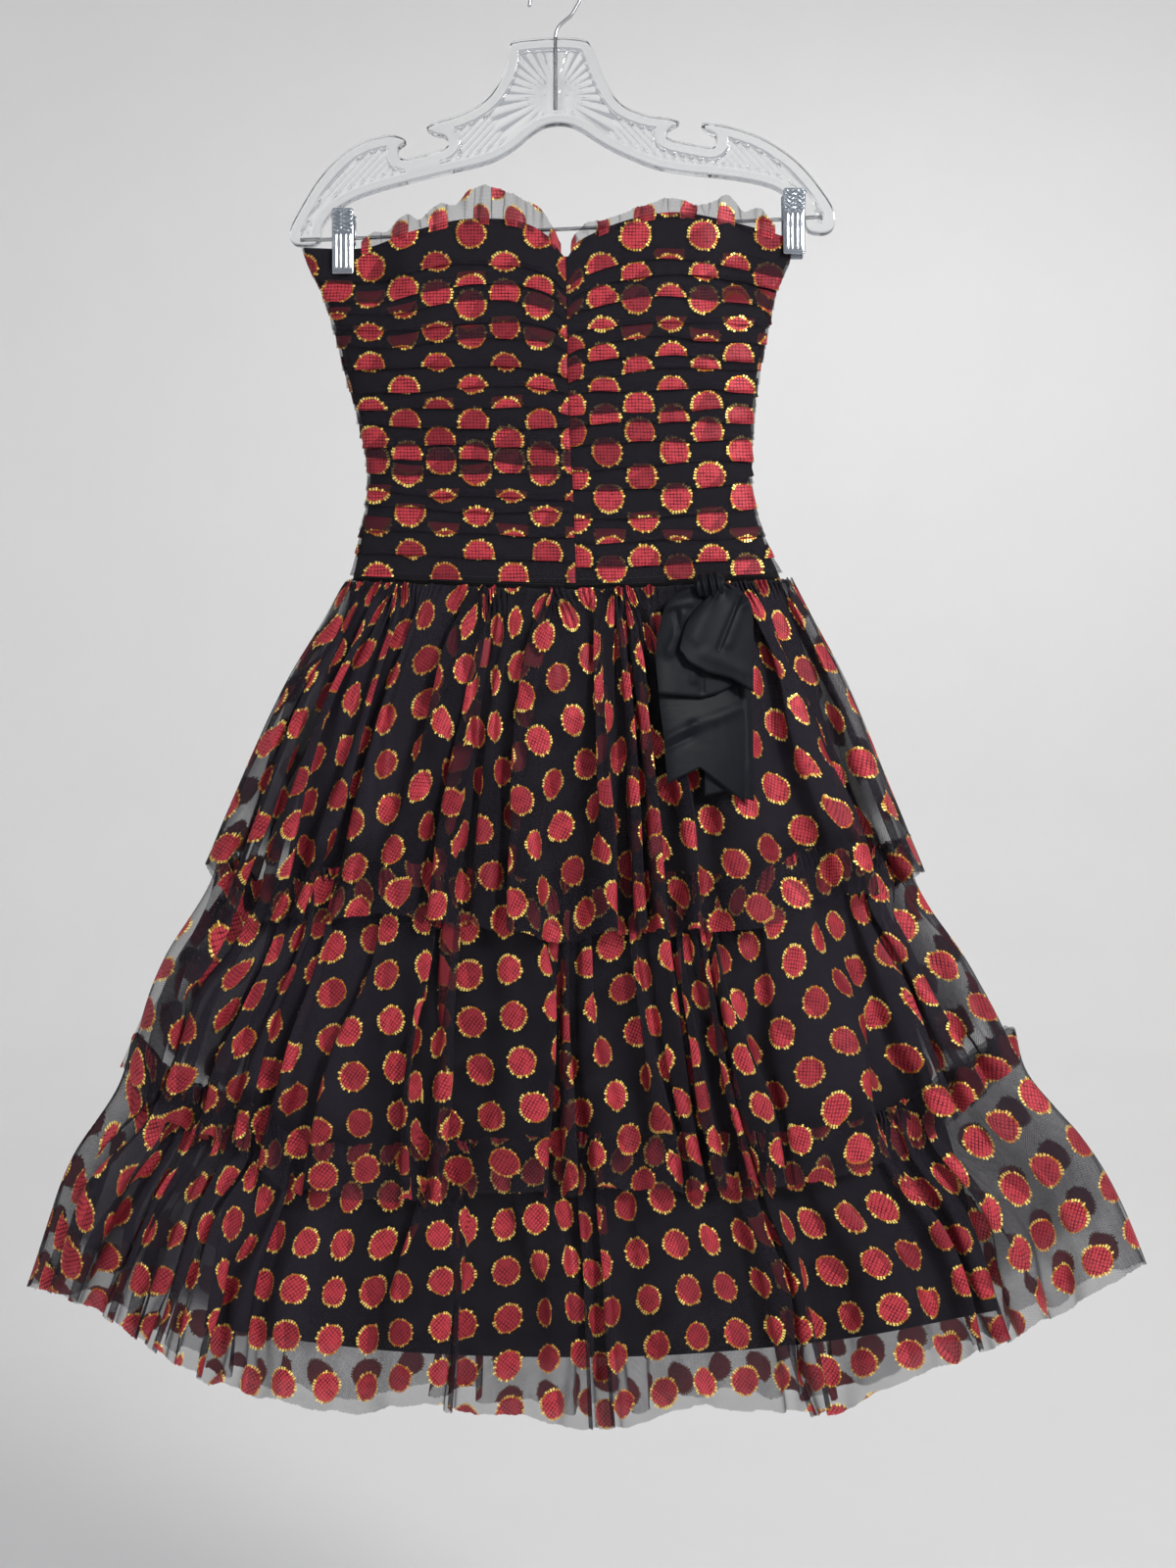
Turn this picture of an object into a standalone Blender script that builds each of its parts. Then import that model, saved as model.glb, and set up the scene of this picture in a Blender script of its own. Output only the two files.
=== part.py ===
"""Strapless party dress hung by two clips from a clear plastic skirt hanger.

Metres, +Z up. The front faces -Y and the wearer's left is at +X. The origin is under the
top of the hanger's hook, where a rail or a nail holds it.

The tables and sizes below are in millimetres, and `MM` turns them into metres where a
mesh or a curve is made. Every cloth piece is an open sheet of points with a Solidify wall.
"""
import math
from collections import namedtuple

import bmesh
import bpy
import numpy as np
from mathutils import Vector

MM = 0.001
GAP = 0.3
FRONT, BACK = -1, 1

# Cloth walls
LINING_WALL = 1.0
NET_WALL = 1.2
SATIN_WALL = 1.2
ROUNDNESS = 2.5  # exponent of the flattened oval that every level of the dress follows

# Outer face of the black lining, a row for each level from the neck to the skirt's hem
Level = namedtuple("Level", "z right middle left front back")
BODY_LEVELS = [
    Level(-215, -204, 8.6, 188, 11, 8),
    Level(-236, -197, 8.7, 185, 15, 8.5),
    Level(-255, -187, 8.8, 176, 19, 9),
    Level(-290, -175, 9.4, 168, 22, 10),
    Level(-325, -166, 10, 161, 21, 10),
    Level(-356, -157, 11, 157, 19, 10),
    Level(-410, -148, 13.6, 155, 16, 10),
    Level(-430, -149.5, 14.6, 158, 15.5, 10),
    Level(-457, -155, 15.4, 166, 15.5, 10),
    Level(-489, -162, 16.4, 180, 15.5, 10),
    Level(-640, -200, 19, 227, 19, 12),
    Level(-800, -232, 20, 275, 22, 14),
    Level(-950, -261, 21, 321, 24, 15),
    Level(-1110, -286, 22, 366, 26, 16),
]

# Edges that run across the dress. `across` is -1 at the wearer's right seam, 1 at the left.
Edge = namedtuple("Edge", "across z")
NECK_FRONT_RIGHT = [
    Edge(-1, -224.6), Edge(-0.75, -224), Edge(-0.58, -211.4), Edge(-0.34, -201.2),
    Edge(-0.14, -206), Edge(0, -232.4),
]
NECK_FRONT_LEFT = [
    Edge(0, -232.4), Edge(0.12, -214), Edge(0.48, -196), Edge(0.73, -203.6), Edge(1, -217),
]
NECK_BACK = [
    Edge(-1, -224.6), Edge(-0.75, -233), Edge(-0.55, -239), Edge(-0.28, -244), Edge(0, -247),
    Edge(0.28, -243), Edge(0.55, -237), Edge(0.75, -230), Edge(1, -217),
]
HIP = [Edge(-1, -489.8), Edge(0, -496), Edge(1, -488.3)]
LINING_HEM = [Edge(-1, -1085), Edge(-0.5, -1104), Edge(0, -1109), Edge(0.6, -1095), Edge(1, -1071)]

# Tucks and neck ruffle
TUCKS = 18
TUCK_LIP = 2.6  # how far a tuck's lower edge stands out
TUCK_ROOT = 0.9
TUCK_LIP_SHARE = 0.78  # share of a tuck's height at which its lip lies
SEAM_FLAT = 0.12  # share of the width, beside the centre seam, where the tucks are sewn flat
TUCK_SWAY = 0.32  # unevenness of the tucks, as a share of one tuck
NET_PLAY = 0.25  # room for the straight runs between rows at the waist
NET_STAND_OFF = GAP + NET_PLAY + NET_WALL  # from the lining's outer face to the net's
EDGE_FADE = 3  # how soon the rows below the neck edge turn level
SIDE_COLUMNS = [0.9, 0.975]  # columns across, beside the side seams
Ruffle = namedtuple("Ruffle", "across height")
RUFFLE_RIGHT = [
    Ruffle(-0.73, 12), Ruffle(-0.62, 17), Ruffle(-0.5, 11), Ruffle(-0.4, 22),
    Ruffle(-0.24, 23), Ruffle(-0.06, 15), Ruffle(-0.01, 8),
]
RUFFLE_LEFT = [
    Ruffle(0.01, 10), Ruffle(0.2, 9), Ruffle(0.5, 14), Ruffle(0.62, 10),
    Ruffle(0.74, 19), Ruffle(0.84, 13), Ruffle(0.93, 9),
]
RUFFLE_BACK_RIGHT = [Ruffle(-0.73, 11), Ruffle(-0.5, 13), Ruffle(-0.25, 11), Ruffle(-0.06, 12)]
RUFFLE_BACK_LEFT = [Ruffle(0.06, 12), Ruffle(0.3, 10), Ruffle(0.6, 13), Ruffle(0.93, 10)]
RUFFLE_WAVE = 3.6
RUFFLE_RISE = 0.7  # from the neck edge's line to the foot of the ruffle
RUFFLE_LEAN = 2.5

# The clips pinch the neck edge flat
PINCH_TOP, PINCH_END = -251, -276
PINCH_FROM, PINCH_TO = 0.60, 0.78
PINCH_HALF = 2.0
PINCH_ROUNDNESS = 8

# Where the linings have their rows and columns
LINING_ROWS = [0, 1, 2, 3, 5, 7, 9, 11, 13, 16, TUCKS]  # in tucks down the bodice
SKIRT_LINING_ROWS = [0, 0.25, 0.5, 0.75, 1]
LINING_COLUMNS = [0.22, 0.44, 0.63, 0.78, 0.89, 0.965, 1]

# Three tiers of gathered net. `right` and `left` follow the net's outline at the side seams,
# `front` and `back` are half depths, and the waves are the folds' heights either side of them.
TierRow = namedtuple("TierRow", "down right left front back front_wave back_wave")
Tier = namedtuple("Tier", "name folds phase hem rows")
TIER_1 = Tier(
    "tier_1", 14, 0.4,
    [
        Edge(-1, -716), Edge(-0.88, -764), Edge(-0.51, -759), Edge(-0.31, -765),
        Edge(0, -777), Edge(0.25, -769), Edge(0.55, -768), Edge(0.70, -746),
        Edge(0.87, -740), Edge(1, -723),
    ],
    [
        TierRow(0, -168, 189, 17.3, 11.8, 0, 0),
        TierRow(0.35, -213, 231, 29, 19.5, 4.5, 3.5),
        TierRow(1, -279, 296, 46, 32, 9, 7),
    ],
)
TIER_2 = Tier(
    "tier_2", 16, 2.1,
    [
        Edge(-1, -878), Edge(-0.90, -922), Edge(-0.76, -942), Edge(-0.66, -970),
        Edge(-0.5, -985), Edge(0, -978), Edge(0.63, -964), Edge(0.77, -940),
        Edge(0.92, -898), Edge(1, -872),
    ],
    [
        TierRow(0.2, -272, 287, 32, 20.4, 2.4, 1.8),
        TierRow(0.55, -311, 325, 39, 25.5, 6, 5),
        TierRow(1, -346, 374, 48, 33, 9.5, 7.5),
    ],
)
TIER_3 = Tier(
    "tier_3", 18, 3.3,
    [
        Edge(-1, -1052), Edge(-0.86, -1078), Edge(-0.70, -1124), Edge(-0.47, -1151),
        Edge(-0.21, -1152), Edge(0.03, -1168), Edge(0.17, -1152), Edge(0.45, -1151),
        Edge(0.62, -1120), Edge(0.80, -1086), Edge(1, -1035),
    ],
    [
        TierRow(0.21, -347, 376, 33.6, 21.2, 2.4, 1.8),
        TierRow(0.5, -384, 424, 40, 26, 6, 4.5),
        TierRow(1, -421, 472, 50, 34, 10, 8),
    ],
)
TIERS = [TIER_1, TIER_2, TIER_3]
SEAM_RISE = [Edge(-1, 30), Edge(-0.7, 42), Edge(0, 47), Edge(0.7, 42), Edge(1, 30)]
SEAM_TUCK_IN = 0.5  # extra room between a seam and the troughs of the tier over it
STEPS_PER_FOLD = 4
FOLD_SWAY = 0.35  # unevenness of the folds, as a share of one fold
SIDE_WAVE = 0.3  # share of a fold's height that is left where a tier turns to its side seam
SEAM_RETURN = 1.2  # straight run beside a side seam, so that the two walls end face to face

# Satin bow at the wearer's left hip
KNOT_X, KNOT_Z = 126, -495
KNOT_WIDTH, KNOT_HEIGHT, KNOT_DEPTH = 22, 17, 13
KNOT_BEVEL = 7.0
BOW_STAND_OFF = 1.0
BOW_RIM = 2.0  # how far the loops and tails start from the knot's side
Ribbon = namedtuple(
    "Ribbon", "name layer start_from start_to left_bend right_bend end_from end_to notch belly"
)

NOTCH_AT = 0.45  # share across a tail at which its swallow cut is deepest
BOW_COLUMNS = [0, 0.25, 0.5, 0.75, 1]  # shares across a ribbon
BOW_STEPS = 5  # from the knot to a ribbon's end
LOOP_FOLD = [45, 90, 135]  # degrees round the fold at a loop's foot
# Each ribbon leaves the knot between two angles, bends, and ends, in x and z; `layer` is how
# far it lies in front of the skirt, `notch` the height of a tail's swallow cut, and `belly`
# half the thickness of a loop.
RIBBONS = [
    Ribbon("bow_tail_back", 0, -125, -55, (101, -560), (157, -560), (112, -657), (156, -663), 4, 0),
    Ribbon("bow_tail_front", 2.2, -135, -50, (86, -560), (151, -545), (89.7, -652), (152, -668), 16, 0),
    Ribbon("bow_loop_inner", 5.9, -190, -60, (70, -520), (130, -535), (83.5, -579), (139, -573), 0, 2.6),
    Ribbon("bow_loop_outer", 11.9, -120, 25, (98, -512), (163, -500), (100, -544), (156, -576), 0, 2.8),
]

# Centre back zip
ZIP_WIDTH = 4.6
ZIP_CHANNEL = 6.6
ZIP_DEPTH = 1.6
ZIP_END_GAP = 1.0
ZIP_ROWS = [0, 0.1, 0.25, 0.45, 0.65, 0.85, 1]
SLIDER_WIDTH, SLIDER_HEIGHT, SLIDER_DEPTH = 5.4, 10.0, 2.6
SLIDER_BEVEL = 0.7
SLIDER_DROP = 2.0  # from the neck edge to the slider's top
PULL_WIDTH, PULL_LENGTH, PULL_DEPTH = 5.0, 16.0, 1.0
PULL_EYE = 1.1  # half width of the tab's top end, where it turns on the slider's bail
PULL_NECK = -3.0  # height of the tab's narrow neck under its joint
PULL_NECK_HALF = 1.3
PULL_STAND = 0.4  # from the slider's face to the tab's eye
PULL_RISE = 2.0  # height of the joint over the slider's middle

# Hanger
HANGER_DEPTH = 9.0
WIRE = 2.8
HOOK_RADIUS = 21.0
STEM_MOUTH = -52.8  # where the stem's bore opens over the body's top
HOOK_STEM = [(0, -115), (0, -58), (0.4, -53.5), (2.6, -48.5), (6.6, -44.4), (12.2, -39.6)]
HOOK_ARC = range(-36, 216, 18)  # degrees round the hook's centre
HOOK_TIP = (-1.0, -6.0)
BORE_PLAY = 0.35
BAR = 3.0
BAR_FROM, BAR_TO = (-203.0, -219.0), (212.5, -200.6)
BAR_BORE = 28.0  # depth of the bore in each end of the body
CLIP_WIDTH, CLIP_PLATE = 17.4, 1.6
CLIP_ABOVE_BAR, CLIP_BELOW_BAR = 21.5, 30.0
CLIP_GRIP = 5.9  # half the distance between the jaws where they hold the cloth
CLIP_WAIST = 6.2  # half the distance between the jaws beside the bar
CLIP_TOP = 8.0  # half the distance between the jaws' finger ends
CLIP_SHOULDER = 9.5  # height over the bar at which the finger ends start to open
CLIP_WAIST_FOOT, CLIP_GRIP_TOP = -3.0, -9.0
SPRING_WALL, SPRING_FOOT, SPRING_SIDE = 1.0, -2.5, 2.5
SPRING_PLAY = 0.4  # between the bar and the spring
CLIPS = {"right": -168.5, "left": 189.5}

Corner = namedtuple("Corner", "x z")
HANGER_OUTLINE = [
    # neck, from its top right corner over the top to the left
    Corner(28.5, -62), Corner(20, -59), Corner(0, -57.8), Corner(-28, -60), Corner(-37.5, -62.5),
    Corner(-39, -83.5), Corner(-51.5, -105.3), Corner(-69.4, -117.8),
    # notch in the arm on the wearer's right
    Corner(-105.7, -128.5), Corner(-96.3, -135.5), Corner(-86.6, -136.5), Corner(-84.2, -145.1),
    Corner(-104, -151.5), Corner(-123.2, -156), Corner(-126.4, -146.6), Corner(-116.5, -139.9),
    Corner(-129.5, -134.9),
    # shoulder and end, with the socket for the bar
    Corner(-147, -138.5), Corner(-162.2, -145), Corner(-179, -159), Corner(-192.7, -176.3),
    Corner(-204, -196), Corner(-212, -211), Corner(-211, -220), Corner(-206, -223.6),
    Corner(-187, -223.2), Corner(-185.6, -209), Corner(-181, -201.2), Corner(-173, -193.4),
    # arch under both arms
    Corner(-152.9, -182.5), Corner(-100.6, -168.5), Corner(-51.5, -157.6), Corner(-33, -147),
    Corner(-20.3, -135.7), Corner(-9, -128.2), Corner(2.3, -126.2), Corner(13, -127.8),
    Corner(22.6, -132.6), Corner(36, -142), Corner(53.8, -151.3), Corner(84.2, -163.8),
    Corner(145.9, -170), Corner(173.9, -176.3), Corner(188, -186.4), Corner(198.9, -195.5),
    # end on the wearer's left
    Corner(198.9, -212.5), Corner(213.7, -214.8), Corner(221.5, -211), Corner(223.1, -203),
    Corner(221, -192), Corner(205.1, -170), Corner(192, -156), Corner(177.1, -145.1),
    Corner(162, -136.5), Corner(145.9, -131), Corner(134.8, -127.9),
    # notch in the arm on the wearer's left
    Corner(113.9, -125.4), Corner(121.4, -133.3), Corner(128.7, -136), Corner(128, -146.6),
    Corner(108, -143), Corner(88, -138.6), Corner(88.9, -131.8), Corner(101.4, -125.8),
    Corner(90.5, -122), Corner(72.5, -120.5), Corner(50.7, -111.5), Corner(38.2, -89.7),
]

Finish = namedtuple("Finish", "colour roughness metallic")
NET_FINISH = Finish((0.30, 0.03, 0.04), 0.8, 0.0)
LINING_FINISH = Finish((0.012, 0.012, 0.014), 0.7, 0.0)
SATIN_FINISH = Finish((0.016, 0.017, 0.020), 0.35, 0.0)
STEEL_FINISH = Finish((0.62, 0.63, 0.65), 0.25, 1.0)
PLASTIC_FINISH = Finish((0.86, 0.88, 0.88), 0.08, 0.0)
ZIP_FINISH = Finish((0.02, 0.02, 0.022), 0.45, 0.0)


def clear_scene():
    """Remove the objects that Blender starts with."""
    for item in list(bpy.data.objects):
        bpy.data.objects.remove(item, do_unlink=True)


def collection(name):
    """A new collection in the scene."""
    group = bpy.data.collections.new(name)
    bpy.context.scene.collection.children.link(group)
    return group


def ease(value):
    """0 to 1 with level ends."""
    value = np.clip(value, 0, 1)
    return value * value * (3 - 2 * value)


def read(table, key, column, at):
    """A column of a table at `at`, along straight lines between its rows."""
    rows = sorted(table, key=lambda row: getattr(row, key))
    return np.interp(at, [getattr(r, key) for r in rows], [getattr(r, column) for r in rows])


def dress_material(name, finish):
    """A Principled material in one finish."""
    material = bpy.data.materials.new(name)
    material.use_nodes = True
    shader = material.node_tree.nodes["Principled BSDF"]
    shader.inputs["Base Color"].default_value = (*finish.colour, 1)
    shader.inputs["Roughness"].default_value = finish.roughness
    shader.inputs["Metallic"].default_value = finish.metallic
    return material


def add_object(name, data, group, finish):
    """A named object with its own material."""
    item = bpy.data.objects.new(name, data)
    data.materials.append(dress_material(name, finish))
    group.objects.link(item)
    return item


def oval_depth(across, roundness=ROUNDNESS):
    """Depth share of a flattened oval at a share across it."""
    return (1 - np.minimum(np.abs(across), 1) ** roundness) ** (1 / roundness)


def spread(value, middle, right, left):
    """An x from its share across, where the two halves are unlike."""
    return middle + np.where(value < 0, value * (middle - right), value * (left - middle))


def body_point(side, across, z):
    """A point on the lining's outer face."""
    level = {c: read(BODY_LEVELS, "z", c, z) for c in ("right", "middle", "left", "front", "back")}
    x = spread(across, level["middle"], level["right"], level["left"])
    depth = level["front" if side == FRONT else "back"] * oval_depth(across)
    pinch = pinch_share(across, z)
    flat = PINCH_HALF * oval_depth(across, PINCH_ROUNDNESS)
    return np.array([x, side * (depth * (1 - pinch) + flat * pinch), z])


def pinch_share(across, z):
    """1 where a clip holds the cloth flat, 0 away from it."""
    low = ease((z - PINCH_END) / (PINCH_TOP - PINCH_END))
    return low * ease((np.abs(across) - PINCH_FROM) / (PINCH_TO - PINCH_FROM))


def sheet_points(rows, columns, point):
    """A grid of points, a row for each share down and a column for each share across."""
    return np.array([[point(down, across) for across in columns] for down in rows])


def outward(grid):
    """Unit normals of a grid whose rows run down and whose columns run round the dress."""
    down, round_it = np.gradient(grid, axis=0), np.gradient(grid, axis=1)
    normal = np.cross(down, round_it)
    return normal / np.linalg.norm(normal, axis=2, keepdims=True)


def cloth(name, grid, wall, group, finish):
    """An object of a grid of points, given a wall on its inner side."""
    rows, columns = grid.shape[:2]
    points = (grid.reshape(-1, 3) * MM).tolist()
    faces = [
        (r * columns + c, (r + 1) * columns + c, (r + 1) * columns + c + 1, r * columns + c + 1)
        for r in range(rows - 1)
        for c in range(columns - 1)
    ]
    mesh = bpy.data.meshes.new(name)
    mesh.from_pydata(points, [], faces)
    item = add_object(name, mesh, group, finish)
    solidify = item.modifiers.new("wall", "SOLIDIFY")
    solidify.thickness = wall * MM
    solidify.offset = -1
    return item


def seamed(grid, side, first, last, reach=SEAM_RETURN):
    """Draw a panel's ends back from its neighbours. `first` and `last` are the gaps left at a
    centre seam, or None at a side seam, where the wall also gets a short straight return."""
    if first is None:
        grid = side_return(grid, side, reach)
    else:
        grid[:, 0, 0] -= side * first
    if last is None:
        grid = side_return(grid[:, ::-1], side, reach)[:, ::-1]
    else:
        grid[:, -1, 0] += side * last
    return grid


def side_return(grid, side, reach):
    """Put the first column half a gap from the side seam and a straight return beside it."""
    seam, beside = grid[:, :1].copy(), grid[:, :1].copy()
    seam[:, :, 1] = side * GAP / 2
    beside[:, :, 1] = side * (GAP / 2 + reach)
    return np.concatenate([seam, beside, grid[:, 1:]], axis=1)


def edge_z(table, across):
    """Height of an edge at a share across."""
    return float(read(table, "across", "z", across))


def round_order(side, columns):
    """Columns in the order that turns the faces outward: right to left in front, back again
    behind."""
    return sorted(columns, reverse=side == BACK)


def body_grid(side, columns, top, bottom, rows, lift=None):
    """Points of a panel on the body between two edges."""
    level = sum(row.z for row in top) / len(top)

    def point(down, across):
        share = down + (lift(down, across) if lift else 0)
        edge = (edge_z(top, across) - level) * (1 - share) ** EDGE_FADE
        return body_point(side, across, level + (edge_z(bottom, across) - level) * share + edge)

    return sheet_points(rows, round_order(side, columns), point)


def bodice_columns(top, right, left):
    """The shares across that a bodice panel has its columns at, from its neck edge's rows."""
    inner = {row.across for row in top}
    outer = {sign * share for share in SIDE_COLUMNS for sign in (-1, 1)}
    return [share for share in sorted(inner | outer) if right <= share <= left]


def lining_panel(name, side, columns, top, bottom, rows, gaps, group):
    """A panel of black lining between two edges."""
    grid = body_grid(side, columns, top, bottom, rows)
    return cloth(name, seamed(grid, side, *gaps), LINING_WALL, group, LINING_FINISH)


def tuck_rows(seed):
    """Shares down a bodice half: the root and the lip of each tuck, unevenly spaced."""
    rows, heights = [0.0], [TUCK_ROOT]
    for tuck in range(TUCKS):
        sway = TUCK_SWAY * math.sin(seed + 2.3 * tuck) * 0.5
        rows.append((tuck + TUCK_LIP_SHARE + 0.3 * sway) / TUCKS)
        heights.append(TUCK_LIP * (1 + 0.8 * sway))
        rows.append((tuck + 1) / TUCKS)
        heights.append(TUCK_ROOT)
    return rows, heights


def tucked_panel(name, side, columns, top, seed, gaps, group):
    """A half of the bodice's net, with its tucks raised in the outer face."""
    rows, heights = tuck_rows(seed)

    def lift(down, across):
        return TUCK_SWAY / TUCKS * math.sin(seed + 2.6 * across + 5 * down) * math.sin(math.pi * down)

    base = body_grid(side, columns, top, HIP, rows, lift)
    across = np.array(round_order(side, columns))[None, :]
    held = np.maximum(0.6 * pinch_share(across, base[:, :, 2]), 1 - ease(np.abs(across) / SEAM_FLAT))
    lips = np.array(heights)[:, None] - TUCK_ROOT
    stand = NET_STAND_OFF + TUCK_ROOT + lips * (1 - held)
    normal = outward(base)
    for end, gap in ((0, gaps[0]), (-1, gaps[1])):
        normal[:, end, 1 if gap is None else 0] = 0
    normal /= np.linalg.norm(normal, axis=2, keepdims=True)
    reach = SEAM_RETURN + NET_STAND_OFF
    grid = seamed(base + normal * stand[:, :, None], side, *gaps, reach)
    return cloth(name, grid, NET_WALL, group, NET_FINISH)


def ruffle(name, side, table, top, waves, seed, group):
    """The raw net edge that stands above the neckline."""
    columns = np.linspace(table[0].across, table[-1].across, STEPS_PER_FOLD * waves + 1)
    columns = np.array(round_order(side, columns))

    def point(up, index):
        across = columns[int(index)]
        high = edge_z(top, across)
        height = float(read(table, "across", "height", across))
        rise = RUFFLE_RISE + height * up * (1 + 0.18 * math.sin(seed + 2.9 * index) * up)
        base = body_point(side, across, min(high, BODY_LEVELS[0].z))
        crest = 1 if int(index) % STEPS_PER_FOLD < STEPS_PER_FOLD // 2 else -1
        free = 1 - float(pinch_share(across, PINCH_TOP))
        out = NET_WALL + (RUFFLE_LEAN + RUFFLE_WAVE * crest) * up * free
        return np.array([base[0], base[1] + side * out, high + rise])

    grid = sheet_points([1.0, 0.5, 0.0], np.arange(len(columns)), point)
    return cloth(name, grid, NET_WALL, group, NET_FINISH)


def fold_height(index, phase):
    """Outward share of a fold, from -1 to 1, with its top and its hollow flattened."""
    crest = 1 if index % STEPS_PER_FOLD < STEPS_PER_FOLD // 2 else -1
    return crest * (1 - 0.3 * (0.5 + 0.5 * math.sin(phase + 2.4 * index / STEPS_PER_FOLD)))


def fold_columns(side, tier):
    """Even steps round half of a tier, swayed so that no two folds are alike."""
    fine = np.sin(np.linspace(-math.pi / 2, math.pi / 2, 600))
    hem = tier.rows[-1]
    run = np.hypot(np.diff(fine * (hem.left - hem.right) / 2), np.diff(oval_depth(fine) * hem.front))
    length = np.concatenate([[0], np.cumsum(run)]) / run.sum()
    share = np.linspace(0, 1, tier.folds * STEPS_PER_FOLD + 1)
    sway = FOLD_SWAY / tier.folds
    share = share + sway * np.sin(6 * math.pi * share + tier.phase) * np.sin(math.pi * share)
    columns = np.interp(share, length, fine)
    return columns if side == FRONT else columns[::-1]


def seam_z(number, across):
    """Height of the seam at the top of a tier."""
    if number == 0:
        return edge_z(HIP, across) - GAP
    return edge_z(TIERS[number - 1].hem, across) + edge_z(SEAM_RISE, across)


def seam_share(number, across):
    """How far down the tier over it the seam of a tier lies."""
    top, hem = seam_z(number - 1, across), edge_z(TIERS[number - 1].hem, across)
    return (seam_z(number, across) - top) / (hem - top)


def tier_rows(number):
    """A tier's rows, begun at its seam under the hollows of the tier over it."""
    tier = TIERS[number]
    if number == 0:
        return tier.rows
    inside = NET_WALL + GAP + SEAM_TUCK_IN
    over, down = number - 1, seam_share(number, 0)
    depths = [
        tier_value(over, down, side) - tier_value(over, down, side + "_wave") - inside
        for side in ("front", "back")
    ]
    inside += SIDE_WAVE * tier_value(over, down, "front_wave")
    right = tier_value(over, seam_share(number, -1), "right") + inside
    left = tier_value(over, seam_share(number, 1), "left") - inside
    return [TierRow(0, right, left, *depths, 0, 0)] + tier.rows


def tier_value(number, down, column):
    """A column of a tier's rows at a share down it."""
    return float(read(tier_rows(number), "down", column, down))


def tier_point(number, side, across, row, lift):
    """A point on a tier's outer face. `lift` is the fold's height there, from -1 to 1."""
    depth, wave = (row.front, row.front_wave) if side == FRONT else (row.back, row.back_wave)
    half, deep = (row.left - row.right) / 2, oval_depth(across)
    power = ROUNDNESS - 1
    normal = Vector((math.copysign(abs(across) ** power, across) / half, deep ** power / depth))
    normal.normalize()
    rise = wave * lift * deep
    seam, hem = seam_z(number, across), edge_z(TIERS[number].hem, across)
    x = (row.left + row.right) / 2 + across * half + normal.x * rise
    return np.array([x, side * (deep * depth + normal.y * rise), seam + (hem - seam) * row.down])


def tier_panel(number, side, group):
    """Half of a gathered tier, as one wavy wall."""
    tier = TIERS[number]
    columns = fold_columns(side, tier)
    lifts = [fold_height(i, tier.phase + side) for i in range(len(columns))]
    grid = np.array([
        [tier_point(number, side, across, row, lift) for across, lift in zip(columns, lifts)]
        for row in tier_rows(number)
    ])
    name = tier.name + ("_front" if side == FRONT else "_back")
    return cloth(name, seamed(grid, side, None, None), NET_WALL, group, NET_FINISH)


def build_bodice(group):
    """The lining, the tucked net over it and the ruffle at its edge."""
    neck = NECK_FRONT_RIGHT[:-1] + NECK_FRONT_LEFT
    rows = [tuck / TUCKS for tuck in LINING_ROWS]
    seam, zip_side = GAP / 2, ZIP_CHANNEL / 2
    linings = [
        ("bodice_lining_front", FRONT, neck, -1, 1, (None, None)),
        ("bodice_lining_back_right", BACK, NECK_BACK, -1, 0, (seam, None)),
        ("bodice_lining_back_left", BACK, NECK_BACK, 0, 1, (None, seam)),
    ]
    for name, side, top, right, left, gaps in linings:
        columns = bodice_columns(top, right, left)
        lining_panel(name, side, columns, top, HIP, rows, gaps, group)
    halves = [
        ("bodice_front_right", FRONT, NECK_FRONT_RIGHT, -1, 0, 0.6, (None, seam)),
        ("bodice_front_left", FRONT, NECK_FRONT_LEFT, 0, 1, 2.9, (seam, None)),
        ("bodice_back_right", BACK, NECK_BACK, -1, 0, 4.1, (zip_side, None)),
        ("bodice_back_left", BACK, NECK_BACK, 0, 1, 5.7, (None, zip_side)),
    ]
    for name, side, top, right, left, seed, gaps in halves:
        tucked_panel(name, side, bodice_columns(top, right, left), top, seed, gaps, group)
    ruffles = [
        ("neck_ruffle_front_right", FRONT, RUFFLE_RIGHT, NECK_FRONT_RIGHT, 7, 0.3),
        ("neck_ruffle_front_left", FRONT, RUFFLE_LEFT, NECK_FRONT_LEFT, 7, 1.9),
        ("neck_ruffle_back_right", BACK, RUFFLE_BACK_RIGHT, NECK_BACK, 5, 3.1),
        ("neck_ruffle_back_left", BACK, RUFFLE_BACK_LEFT, NECK_BACK, 6, 4.4),
    ]
    for name, side, table, top, waves, seed in ruffles:
        ruffle(name, side, table, top, waves, seed, group)


def build_skirt(group):
    """The lining skirt and the three tiers of net."""
    under_hip = [Edge(row.across, row.z - GAP) for row in HIP]
    columns = [sign * share for share in LINING_COLUMNS for sign in (-1, 1)] + [0]
    for side, name in ((FRONT, "skirt_lining_front"), (BACK, "skirt_lining_back")):
        gaps = (None, None)
        lining_panel(name, side, columns, under_hip, LINING_HEM, SKIRT_LINING_ROWS, gaps, group)
    for number in range(len(TIERS)):
        for side in (FRONT, BACK):
            tier_panel(number, side, group)


def hip_rest(z):
    """How far in front the skirt's net reaches beside the bow."""
    hip, hem = edge_z(HIP, 0), edge_z(TIER_1.hem, 0)
    down = (z - hip) / (hem - hip)
    bodice = read(BODY_LEVELS, "z", "front", hip) + NET_STAND_OFF + TUCK_LIP
    skirt = tier_value(0, max(down, 0), "front") + tier_value(0, max(down, 0), "front_wave")
    return max(bodice, skirt) + BOW_STAND_OFF


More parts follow.
